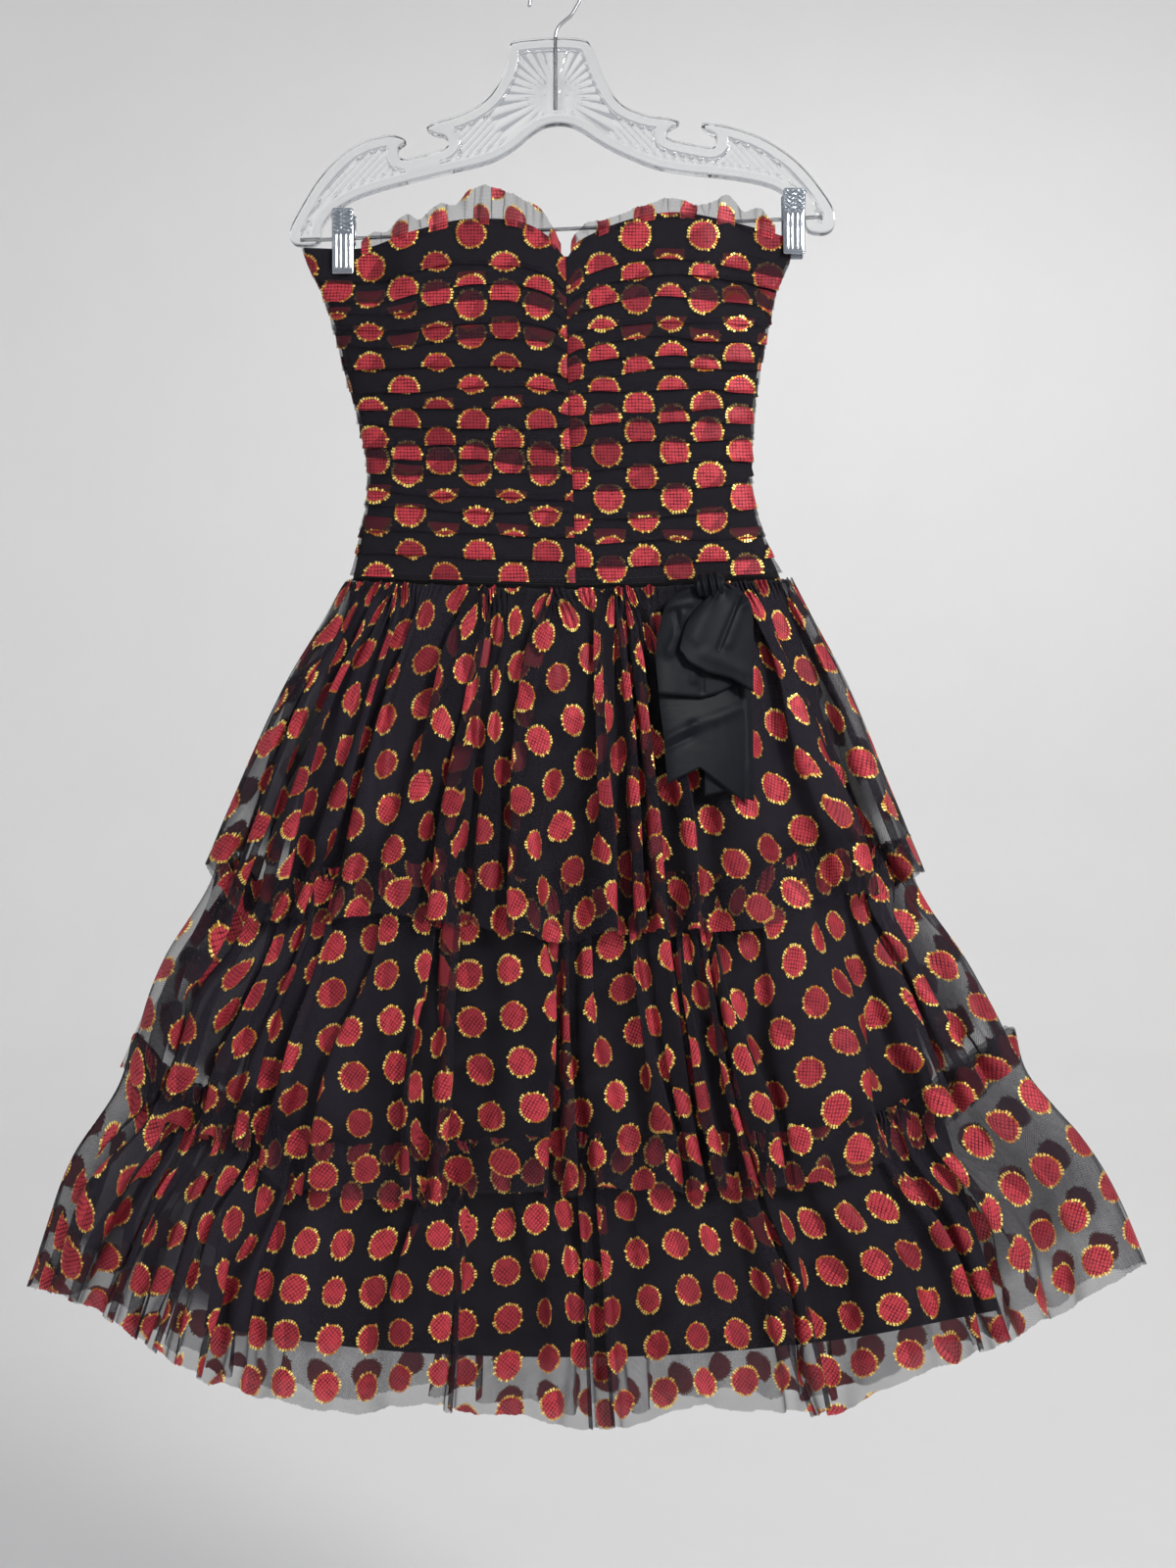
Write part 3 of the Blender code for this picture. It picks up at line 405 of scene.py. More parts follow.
class Graph:
    """A small hand for wiring nodes in a material or a group."""

    def __init__(self, tree: bpy.types.NodeTree) -> None:
        """Work on one node tree."""
        self.tree = tree

    def feed(self, node: bpy.types.Node, inputs: dict) -> None:
        """Link wires to a node's inputs, or set the inputs' values.

        Args:
            node: The node.
            inputs: Input name or number to a wire or a value.
        """
        for key, value in inputs.items():
            if isinstance(value, Wire):
                self.tree.links.new(value.socket, node.inputs[key])
            else:
                node.inputs[key].default_value = value

    def node(self, kind: str, inputs: Optional[dict] = None, **settings) -> bpy.types.Node:
        """A node with its settings and inputs.

        Args:
            kind: The node's type.
            inputs: Input name or number to a wire or a value.
            settings: Attributes of the node.

        Returns:
            The node.
        """
        made = self.tree.nodes.new(kind)
        for key, value in settings.items():
            setattr(made, key, value)
        self.feed(made, inputs or {})
        return made

    def wires(self, node: bpy.types.Node) -> dict:
        """A node's outputs by name."""
        return {socket.name: Wire(self, socket) for socket in node.outputs}

    def out(self, kind: str, output: Union[str, int], inputs: Optional[dict] = None,
            **settings) -> Wire:
        """One output, by name or number, of a new node."""
        return Wire(self, self.node(kind, inputs, **settings).outputs[output])

    def math(self, operation: str, first: Feed, second: Feed = 0.0, clamp: bool = False) -> Wire:
        """One number from one or two."""
        return self.out("ShaderNodeMath", 0, {0: first, 1: second}, operation=operation,
                        use_clamp=clamp)

    def parts(self, vector: Wire) -> list:
        """The three numbers of a vector or a colour."""
        return list(self.wires(self.node("ShaderNodeSeparateXYZ", {0: vector})).values())

    def step(self, value: Wire, start: Feed, end: Feed) -> Wire:
        """0 before `start`, 1 after `end`, smooth between them."""
        return self.out("ShaderNodeMapRange", "Result",
                        {"Value": value, "From Min": start, "From Max": end},
                        interpolation_type="SMOOTHSTEP")

    def wave(self, value: Wire, pitch: Wire) -> Wire:
        """0 in the middle of each pitch along a value, a half at its ends."""
        return abs(self.math("FRACT", value / pitch) - 0.5)

    def mix(self, share: Wire, first: Feed, second: Feed) -> Wire:
        """A colour between two."""
        return self.out("ShaderNodeMix", 2, {0: share, 6: first, 7: second}, data_type="RGBA")

    def blend(self, share: Wire, first: Feed, second: Feed) -> Wire:
        """A number between two."""
        return self.out("ShaderNodeMix", 0, {0: share, 2: first, 3: second}, data_type="FLOAT")

    def noise(self, place: Wire, scale: float, detail: float = 2.0, rough: float = 0.5) -> Wire:
        """Smooth noise from 0 to 1."""
        return self.out("ShaderNodeTexNoise", "Fac", {"Vector": place, "Scale": scale,
                                                      "Detail": detail, "Roughness": rough})

    def chance(self, *numbers: Wire) -> dict:
        """A random Value and Color that belong to up to three whole numbers."""
        name = self.out("ShaderNodeCombineXYZ", 0, dict(enumerate(numbers)))
        return self.wires(self.node("ShaderNodeTexWhiteNoise", {"Vector": name},
                                    noise_dimensions="3D"))

    def group(self, name: str, inputs: dict) -> dict:
        """The outputs of a shared group, by name."""
        return self.wires(self.node("ShaderNodeGroup", inputs,
                                    node_tree=bpy.data.node_groups[name]))

    def place(self) -> Wire:
        """The Object coordinates."""
        return self.out("ShaderNodeTexCoord", "Object")

    def flat(self) -> Wire:
        """The place on the flat cloth."""
        return self.out("ShaderNodeUVMap", "UV", uv_map="flat")

    def stored(self, name: str) -> Wire:
        """A number that is stored on the mesh."""
        return self.out("ShaderNodeAttribute", "Fac", attribute_name=name)

    def bump(self, height: Wire, strength: float, distance: float) -> Wire:
        """A normal that is bent by a height."""
        return self.out("ShaderNodeBump", 0, {"Height": height, "Strength": strength,
                                              "Distance": distance})


def new_group(name: str, inputs: dict, outputs: Sequence[str]) -> tuple:
    """An empty node group whose outputs are numbers.

    Args:
        name: The group's name.
        inputs: Input name to its number, or to None for a vector.
        outputs: Names of the outputs.

    Returns:
        Its Graph, the wires of its inputs by name, and its output node.
    """
    tree = bpy.data.node_groups.new(name, "ShaderNodeTree")
    for label, value in inputs.items():
        kind = "NodeSocketVector" if value is None else "NodeSocketFloat"
        socket = tree.interface.new_socket(label, in_out="INPUT", socket_type=kind)
        if value is not None:
            socket.default_value = value
    for label in outputs:
        tree.interface.new_socket(label, in_out="OUTPUT", socket_type="NodeSocketFloat")
    g = Graph(tree)
    return g, g.wires(g.node("NodeGroupInput")), g.node("NodeGroupOutput")


def build_dot_group() -> None:
    """Woven dots on a square lattice of the flat cloth, each with a ring of short stitches.

    The group gives masks of the dot, its edge band and its stitches, a painted glint for each
    stitch, the dark threads of the weave, a painted shade for each dot and a height.
    """
    g, given, end = new_group(
        "woven_dots",
        {"Flat": None, "Pitch": DOT_PITCH * MM, "Radius": DOT_RADIUS * MM, "Ring": 0.0023,
         "Weave": 0.0027, "Stitches": 32.0},
        ("Dot", "Band", "Stitch", "Gleam", "Weave", "Shade", "Height"))
    flat, pitch, radius = given["Flat"], given["Pitch"], given["Radius"]
    cells = [part / pitch for part in g.parts(flat)[:2]]
    x, y = ((g.math("FRACT", cell) - 0.5) * pitch for cell in cells)
    column, row = (g.math("FLOOR", cell) for cell in cells)
    chance = g.chance(column, row)
    own = g.parts(chance["Color"])
    wander = g.noise(flat, 90, 1) - 0.5
    squashed = y * g.blend(chance["Value"], 0.95, 1.05)
    away = g.math("SQRT", x * x + squashed * squashed) + wander * 0.0022
    # The ring: each stitch reaches a little less or more far in and out
    place = g.math("ARCTAN2", y, x) * given["Stitches"] / (2 * math.pi)
    # Each stitch's random Value is also its painted glint: how bright the stitch is painted
    each = g.chance(g.math("FLOOR", place), column, row)
    tints = g.parts(each["Color"])
    far = radius + (tints[0] - 0.6) * 0.0016
    near = radius - given["Ring"] - (tints[1] - 0.5) * 0.0010
    inner = g.step(away, near, near + 0.0003)
    between = 1.0 - g.step(abs(g.math("FRACT", place) - 0.5), 0.26, 0.40)
    stitch = (1.0 - g.step(away, far - 0.0003, far)) * inner * between
    body = 1.0 - g.step(away, radius - 0.0014, radius - 0.0009)
    # The weave: slanting threads and a darker cross through the middle
    lean = [slant * 0.7071 + wander * 0.0011 for slant in (x + y, x - y)]
    threads = [g.step(g.wave(slant, given["Weave"]), 0.5 - share, 0.58 - share)
               for slant, share in zip(lean, (0.22, 0.18))]
    patchy = g.step(g.noise(flat, 130, 3, 0.65), 0.38, 0.60)
    hatch = g.math("MAXIMUM", *threads) * g.blend(patchy, 0.45, 1.0)
    cross = 1.0 - g.step(g.math("MINIMUM", *map(abs, lean)), 0.0002, 0.0006)
    dark = g.math("MAXIMUM", hatch * 0.95, cross * 0.7)
    # Painted shade: some dots are darker beyond a line across them, as if creased from the light
    heading = (own[0] - 0.5) * 1.3
    past_shade_line = x * g.math("COSINE", heading) + y * g.math("SINE", heading) + (own[1] - 0.5) * 0.018
    pressed = g.step(past_shade_line, -0.0003, 0.0004) * g.step(own[2], 0.44, 0.50)
    # Shade is painted shade: a random darkening of some dots, and of the half beyond the line
    g.feed(end, {
        "Dot": g.math("MAXIMUM", body, stitch), "Band": body * inner, "Stitch": stitch,
        "Gleam": each["Value"], "Weave": dark,
        "Shade": g.math("MAXIMUM", pressed * 0.8, g.step(chance["Value"], 0.55, 0.97)),
        "Height": body + stitch - dark * 0.5})


def build_net_group() -> None:
    """The fine mesh of the net, and the threads that are left at a raw edge.

    The group gives how much of the mesh is thread, and 1 inside the raw edge.
    """
    g, given, end = new_group(
        "fine_net", {"Flat": None, "Edge": 1.0, "Mesh": 0.0015, "Cover": 0.29, "Thread": 0.36},
        ("Cover", "Inside"))
    flat = given["Flat"]
    x, y, _ = g.parts(flat)
    shaken = g.noise(flat, 420, 2, 0.6) * 0.0011
    threads = [g.step(g.wave(slant + shaken, given["Mesh"]), 0.36, 0.42)
               for slant in (x + y, x - y)]
    cover = given["Cover"] + g.math("MAXIMUM", *threads) * given["Thread"]
    tatter = (g.noise(flat, 300, 4, 0.8) - 0.3) * 0.005
    g.feed(end, {"Cover": cover * g.blend(g.noise(flat, 45, 2), 0.8, 1.2),
                 "Inside": g.step(given["Edge"] - tatter, -0.0002, 0.0004)})


def build_cloth_group() -> None:
    """Plain weave, lint and painted light and shade of soft creases: a height and two masks."""
    g, given, end = new_group("plain_cloth", {"Place": None, "Yarn": 0.0007},
                              ("Height", "Shade", "Lint"))
    place = given["Place"]
    x, _, z = g.parts(place)
    warp, weft = (g.math("SINE", part / given["Yarn"] * (2 * math.pi)) for part in (x, z))
    # Shade is painted light and shade: soft blotches that stand in for creases
    g.feed(end, {"Height": warp * weft + g.noise(place, 400, 3) * 1.5,
                 "Shade": g.noise(place, 9, 4, 0.6),
                 "Lint": g.step(g.noise(place, 700, 3, 0.7), 0.68, 0.74)})


def build_wear_group() -> None:
    """Masks of the fine scratches and the smudges on metal and plastic."""
    g, given, end = new_group("handled", {"Place": None}, ("Scratch", "Smudge"))
    place = given["Place"]
    drawn = g.out("ShaderNodeMapping", 0, {"Vector": place, "Rotation": (0.3, 0.2, 0.6),
                                           "Scale": (60, 60, 1400)})
    g.feed(end, {"Scratch": g.step(g.noise(drawn, 1.0, 2, 0.6), 0.62, 0.7),
                 "Smudge": g.noise(place, 38, 3, 0.55)})


def start_material(name: str) -> tuple:
    """A new material, its Graph and its Principled shader."""
    material = bpy.data.materials.new(name)
    material.use_nodes = True
    return material, Graph(material.node_tree), material.node_tree.nodes["Principled BSDF"]


@dataclass(frozen=True)
class NetFinish:
    """Black net woven with red dots that have gold edges, and a dull wrong side."""

    name: str = "dotted_net"
    net: Colour = (0.0135, 0.0110, 0.0175, 1)
    red: Colour = (0.56, 0.050, 0.068, 1)
    painted_shade_red: Colour = (0.21, 0.014, 0.024, 1)
    dark_thread: Colour = (0.085, 0.004, 0.010, 1)
    gold: Colour = (1.0, 0.78, 0.20, 1)
    brass: Colour = (0.48, 0.17, 0.018, 1)
    # The band's own dull gold, and also the painted shade of the rings on shaded dots
    band_and_shade_gold: Colour = (0.30, 0.065, 0.010, 1)
    wrong_red: Colour = (0.17, 0.012, 0.020, 1)
    wrong_gold: Colour = (0.16, 0.055, 0.016, 1)
    cover: float = 0.29
    thread: float = 0.36

    def material(self) -> bpy.types.Material:
        """The net's material."""
        material, g, shader = start_material(self.name)
        wrong = g.out("ShaderNodeNewGeometry", "Backfacing")
        dots = g.group("woven_dots", {"Flat": g.flat()})
        net = g.group("fine_net", {"Flat": g.flat(), "Edge": g.stored("raw_edge"),
                                   "Cover": self.cover, "Thread": self.thread})
        # Painted shade: the dots' Shade darkens their red
        red = g.mix(dots["Shade"] * 0.85, self.red, self.painted_shade_red)
        red = g.mix(wrong, g.mix(dots["Weave"], red, self.dark_thread), self.wrong_red)
        # Painted glints: stitches with a high Gleam are painted bright gold, the others brass
        gold = g.mix(g.step(dots["Gleam"], 0.22, 0.80), self.brass, self.gold)
        # Painted shade: the rings of shaded dots are darkened toward the band's dull gold
        gold = g.mix(dots["Shade"] * 0.6, gold, self.band_and_shade_gold)
        edging = g.mix(wrong, self.band_and_shade_gold, self.wrong_red)
        colour = g.mix(dots["Band"] * 0.85, g.mix(dots["Dot"], self.net, red), edging)
        clear = g.math("POWER", g.math("SUBTRACT", 1.0, net["Cover"], clamp=True),
                       g.math("MAXIMUM", g.stored("bunched"), 1.0))
        g.feed(shader, {
            "Base Color": g.mix(dots["Stitch"], colour, g.mix(wrong, gold, self.wrong_gold)),
            "Alpha": g.math("MAXIMUM", 1.0 - clear, dots["Dot"] * 0.97) * net["Inside"],
            "Metallic": dots["Stitch"] * 0.45 + dots["Dot"] * 0.22,
            "Roughness": g.blend(dots["Dot"], 0.85, g.blend(dots["Stitch"], 0.52, 0.36)),
            "Normal": g.bump(dots["Height"], 0.55, 0.0005), "Specular IOR Level": 0.22})
        return material


@dataclass(frozen=True)
class LiningFinish:
    """Plain black lining cloth."""

    name: str
    colour: Colour
    high: Colour
    roughness: float
    yarn: float
    sheen: float
    lint: Colour = (0.12, 0.12, 0.13, 1)

    def material(self) -> bpy.types.Material:
        """The lining's material."""
        material, g, shader = start_material(self.name)
        cloth = g.group("plain_cloth", {"Place": g.place(), "Yarn": self.yarn})
        # Painted light and shade: the blotches lighten the colour toward high
        colour = g.mix(cloth["Shade"], self.colour, self.high)
        g.feed(shader, {
            "Base Color": g.mix(cloth["Lint"] * 0.3, colour, self.lint),
            "Roughness": g.blend(cloth["Shade"], self.roughness - 0.06, self.roughness + 0.08),
            "Normal": g.bump(cloth["Height"], 0.35, 0.00015), "Sheen Weight": self.sheen,
            "Sheen Roughness": 0.4, "Specular IOR Level": 0.12})
        return material


@dataclass(frozen=True)
class SatinFinish:
    """Black satin ribbon, with soft streaks of painted sheen in its colour."""

    name: str = "black_satin"
    colour: Colour = (0.0045, 0.0050, 0.0070, 1)
    # The lighter colour of the painted sheen streaks
    high: Colour = (0.0085, 0.0098, 0.0135, 1)
    yarn: float = 0.0005

    def material(self) -> bpy.types.Material:
        """The satin's material."""
        material, g, shader = start_material(self.name)
        flat = g.flat()
        along = g.parts(flat)[0] + g.noise(flat, 220, 2) * 0.0004
        ribbed = g.math("SINE", along * (2 * math.pi / self.yarn))
        drawn = g.out("ShaderNodeMapping", 0, {"Vector": flat, "Scale": (260, 34, 1)})
        sheen_streak = g.noise(drawn, 1.0, 3, 0.55)
        # Painted sheen: the streaks lighten the colour toward high, and they also change the
        # roughness
        g.feed(shader, {
            "Base Color": g.mix(sheen_streak, self.colour, self.high),
            "Roughness": g.blend(sheen_streak, 0.28, 0.40),
            "Normal": g.bump(ribbed * 0.25 + g.noise(flat, 75, 4, 0.5), 0.35, 0.0006),
            "Specular IOR Level": 0.085})
        return material


@dataclass(frozen=True)
class MetalFinish:
    """Bright steel with faint scratches."""

    name: str
    colour: Colour
    roughness: float
    tarnish: Colour = (0.30, 0.29, 0.28, 1)

    def material(self) -> bpy.types.Material:
        """The metal's material."""
        material, g, shader = start_material(self.name)
        worn = g.group("handled", {"Place": g.place()})
        smeared = g.blend(worn["Smudge"], self.roughness * 0.7, self.roughness * 1.6)
        g.feed(shader, {
            "Base Color": g.mix(worn["Smudge"] * 0.28, self.colour, self.tarnish),
            "Roughness": worn["Scratch"] * 0.2 + smeared,
            "Normal": g.bump(worn["Scratch"], 0.12, 0.0001), "Metallic": 1.0})
        return material


@dataclass(frozen=True)
class ClearFinish:
    """Clear moulded plastic with hairline scratches."""

    name: str = "clear_plastic"
    colour: Colour = (0.97, 0.98, 0.98, 1)
    smudged: Colour = (0.93, 0.95, 0.96, 1)

    def material(self) -> bpy.types.Material:
        """The plastic's material."""
        material, g, shader = start_material(self.name)
        place = g.place()
        worn = g.group("handled", {"Place": place})
        g.feed(shader, {
            "Base Color": g.mix(worn["Smudge"], self.colour, self.smudged),
            "Roughness": worn["Scratch"] * 0.15 + g.blend(worn["Smudge"], 0.015, 0.07),
            "Normal": g.bump(worn["Scratch"] + g.noise(place, 160, 2), 0.10, 0.0004),
            "Transmission Weight": 1.0, "IOR": 1.49})
        return material


@dataclass(frozen=True)
class TeethFinish:
    """Dull black of the zip's teeth, its tape and sewing thread."""

    name: str
    colour: Colour
    roughness: float

    def material(self) -> bpy.types.Material:
        """The material of the teeth, the tape or the thread."""
        material, g, shader = start_material(self.name)
        place = g.place()
        grain = g.noise(place, 1500, 2, 0.6)
        lighter = tuple(min(1.0, part * 1.7 + 0.004) for part in self.colour[:3]) + (1,)
        g.feed(shader, {
            "Base Color": g.mix(g.noise(place, 60, 2), self.colour, lighter),
            "Roughness": g.blend(grain, self.roughness - 0.08, self.roughness + 0.1),
            "Normal": g.bump(grain, 0.3, 0.0001)})
        return material


@dataclass
class Finishes:
    """Every material of the dress and its hanger, made once."""

    net: bpy.types.Material
    ruffle_net: bpy.types.Material
    lining: bpy.types.Material
    skirt_lining: bpy.types.Material
    satin: bpy.types.Material
    chrome: bpy.types.Material
    wire: bpy.types.Material
    clear: bpy.types.Material
    teeth: bpy.types.Material
    tape: bpy.types.Material
    thread: bpy.types.Material

    @classmethod
    def make(cls) -> "Finishes":
        """Build the shared groups, then the materials that use them."""
        build_dot_group()
        build_net_group()
        build_cloth_group()
        build_wear_group()
        return cls(
            net=NetFinish().material(),
            ruffle_net=NetFinish(name="dotted_net_edge", cover=0.20, thread=0.34).material(),
            lining=LiningFinish(
                "bodice_lining", (0.007, 0.007, 0.008, 1), (0.013, 0.013, 0.015, 1),
                roughness=0.72, yarn=0.0007, sheen=0.03).material(),
            skirt_lining=LiningFinish(
                "skirt_lining", (0.008, 0.008, 0.009, 1), (0.015, 0.015, 0.017, 1),
                roughness=0.6, yarn=0.0006, sheen=0.05).material(),
            satin=SatinFinish().material(),
            chrome=MetalFinish("clip_chrome", (0.43, 0.47, 0.52, 1), 0.20,
                               (0.20, 0.21, 0.23, 1)).material(),
            wire=MetalFinish("steel_wire", (0.55, 0.56, 0.58, 1), 0.24).material(),
            clear=ClearFinish().material(),
            teeth=TeethFinish("zip_teeth", (0.020, 0.019, 0.021, 1), 0.38).material(),
            tape=TeethFinish("zip_tape", (0.012, 0.011, 0.013, 1), 0.85).material(),
            thread=TeethFinish("black_thread", (0.014, 0.013, 0.015, 1), 0.7).material(),
        )


# ---- cloth that gathers ----

# Distance between the samples along gathered cloth, in millimetres
FRONT_SPACING, BACK_SPACING = 1.7, 2.9
# How much of a dot's height the folds and the unevenness shift, and how far a fold may turn
SLIP, DRIFT = 10.0, 8.0
MOST_TURN = 2.8
# Where the small gathers at the sides run out, as a share down a tier, and over how much
LOOSE_FROM, LOOSE_OVER = 0.70, 0.12


@dataclass
class Meander:
    """Cloth pushed together along a line, as folds of uneven width and depth.

    Each stretch of cloth keeps its own share of the line from row to row, so the cloth hangs
    straight down. Its direction swings either side of the line's own, and tight folds lean to
    one side, so the cloth's length is kept and deep folds double back over themselves.
    """

    run: float
    tightness: Sequence[Row]
    seed: int
    widths: tuple = (62.0, 115.0)
    spacing: float = FRONT_SPACING
    gather: float = 8.5
    length: float = field(init=False)
    folds: int = field(init=False)
    s: Array = field(init=False)
    phase: Array = field(init=False)
    pressed: Array = field(init=False)
    drift: Array = field(init=False)
    lean: Array = field(init=False)
    tilt: Array = field(init=False)
    slip: Array = field(init=False)
    fine: Array = field(init=False)

    def __post_init__(self) -> None:
        """Settle the width of every fold and how hard each stretch is pushed together."""
        chance = np.random.default_rng(self.seed)
        place = np.linspace(0, 1, 1500)
        tight = np.maximum(line(self.tightness, place), 1.03)
        cloth = np.concatenate([[0], np.cumsum(tight[1:] + tight[:-1]) / 2]) * self.run / 1499
        self.length = float(cloth[-1])
        marks = [0.0]
        while marks[-1] < self.length:
            loose = math.exp(-(float(np.interp(marks[-1], cloth, tight)) - 1) / 0.5)
            wide = self.widths[0] + (self.widths[1] - self.widths[0]) * loose
            marks.append(marks[-1] + wide * (0.65 + 0.7 * chance.random()))
        marks = np.array(marks) * self.length / marks[-1]
        self.folds = len(marks) - 1
        middles = np.arange(self.folds) + 0.5
        self.s = np.linspace(0, self.length, int(self.length / self.spacing) + 1)
        self.phase = line(np.column_stack([marks, np.arange(self.folds + 1)]), self.s)

        def per_fold(values: Array) -> Array:
            """A value a fold, drawn out along the cloth."""
            return np.interp(self.phase, middles, values)

        own = np.interp(self.s, cloth, tight) ** per_fold(0.7 + 0.6 * chance.random(self.folds))
        self.pressed = np.clip(1 / own, 0.12, 0.985)
        self.drift = per_fold(chance.random(self.folds) * 6.28)
        self.lean = per_fold(1.6 * chance.random(self.folds) - 0.8)
        side = np.where(chance.random(self.folds) < 0.5, -1, 1)
        self.tilt = per_fold(side * (0.5 + 1.0 * chance.random(self.folds)))
        slips = 2 * chance.random(2 * self.folds + 3) - 1
        panel = 2 * self.phase + 0.38
        number = np.floor(panel).astype(int)
        turned = ease((panel - number - 0.76) / 0.24)
        self.slip = slips[number] * (1 - turned) + slips[number + 1] * turned
        self.slip = self.slip * np.clip((0.72 - self.pressed) / 0.3, 0, 1)
        slow = np.cumsum(1 + 0.35 * np.sin(self.s / 23 + self.drift)) * self.spacing / self.gather
        self.fine = (1.0 + 0.3 * np.sin(self.s / 31 + 1.7)) * np.sin(2 * math.pi * slow)

    def level(self, values: Array) -> Array:
        """The slow part of a value along the cloth, from its mean in each fold."""
        number = np.clip(self.phase.astype(int), 0, self.folds - 1)
        samples = np.maximum(np.bincount(number, minlength=self.folds), 1)
        means = np.bincount(number, values, self.folds) / samples
        return np.interp(self.phase, np.arange(self.folds) + 0.5, means)

    def row(self, run: float, gather: float, down: float) -> tuple:
        """Where the cloth goes along one row.

        Args:
            run: Length of the line that it is gathered on, in millimetres.
            gather: 1 where it is held in fine gathers, 0 where it hangs in folds.
            down: Share down the piece, which lets the folds wander and open.

        Returns:
            The distance along the line and the distance out from it, a value a sample.
        """
        share = np.clip(self.pressed * run / (self.pressed.mean() * self.length), 0.02, 0.995)
        wander = 0.16 * np.sin(self.drift + 2.6 * down) + 0.06 * np.sin(2 * self.drift + 7.0 * down)
        phase = 2 * math.pi * (self.phase + wander)
        wide = np.sin(phase + self.lean * np.sin(phase))
        split = np.sin(2 * phase + self.drift)
        young = max(0.0, 1 - down / 0.7) * 0.8
        shape = gather * self.fine + (1 - gather) * (wide * (1 - 0.55 * young) + split * young)
        turns = np.linspace(0, 2.4, 60)
        swing = np.sin(np.linspace(0, 2 * math.pi, 73)[:-1])
        cosines = np.array([np.mean(np.cos(turn * swing)) for turn in turns])
        size = np.interp(-share, -cosines, turns)
        over = self.tilt * (1 - gather) * (1 - share) ** 1.3
        angle = np.clip(size * shape + over, -MOST_TURN, MOST_TURN)
        step = self.length / (len(self.s) - 1)
        along = np.concatenate([[0], np.cumsum(np.cos(angle[:-1]))]) * step
        out = np.concatenate([[0], np.cumsum(np.sin(angle[:-1]))]) * step
        wanted = np.concatenate([[0], np.cumsum(share[:-1])]) * step
        along = along - self.level(along) + self.level(wanted)
        return np.clip(along, 0, run), out - self.level(out)


def edge_on(x: Array, y: Array) -> Array:
    """How many times closer together threads lie where cloth is turned away from the front."""
    facing = np.abs(np.gradient(x)) / np.maximum(np.hypot(np.gradient(x), np.gradient(y)), 1e-6)
    return np.clip(1 / np.maximum(facing, 0.05), 1, 4)


SIDE_LAYERS: list[Row] = [
    (-1, 1.3), (-0.965, 1.5), (-0.92, 4.4), (-0.60, 4.4), (-0.45, 1.0), (0.5, 1.0), (0.66, 3.2),
    (0.93, 3.0), (0.975, 1.5), (1, 1.2),
]


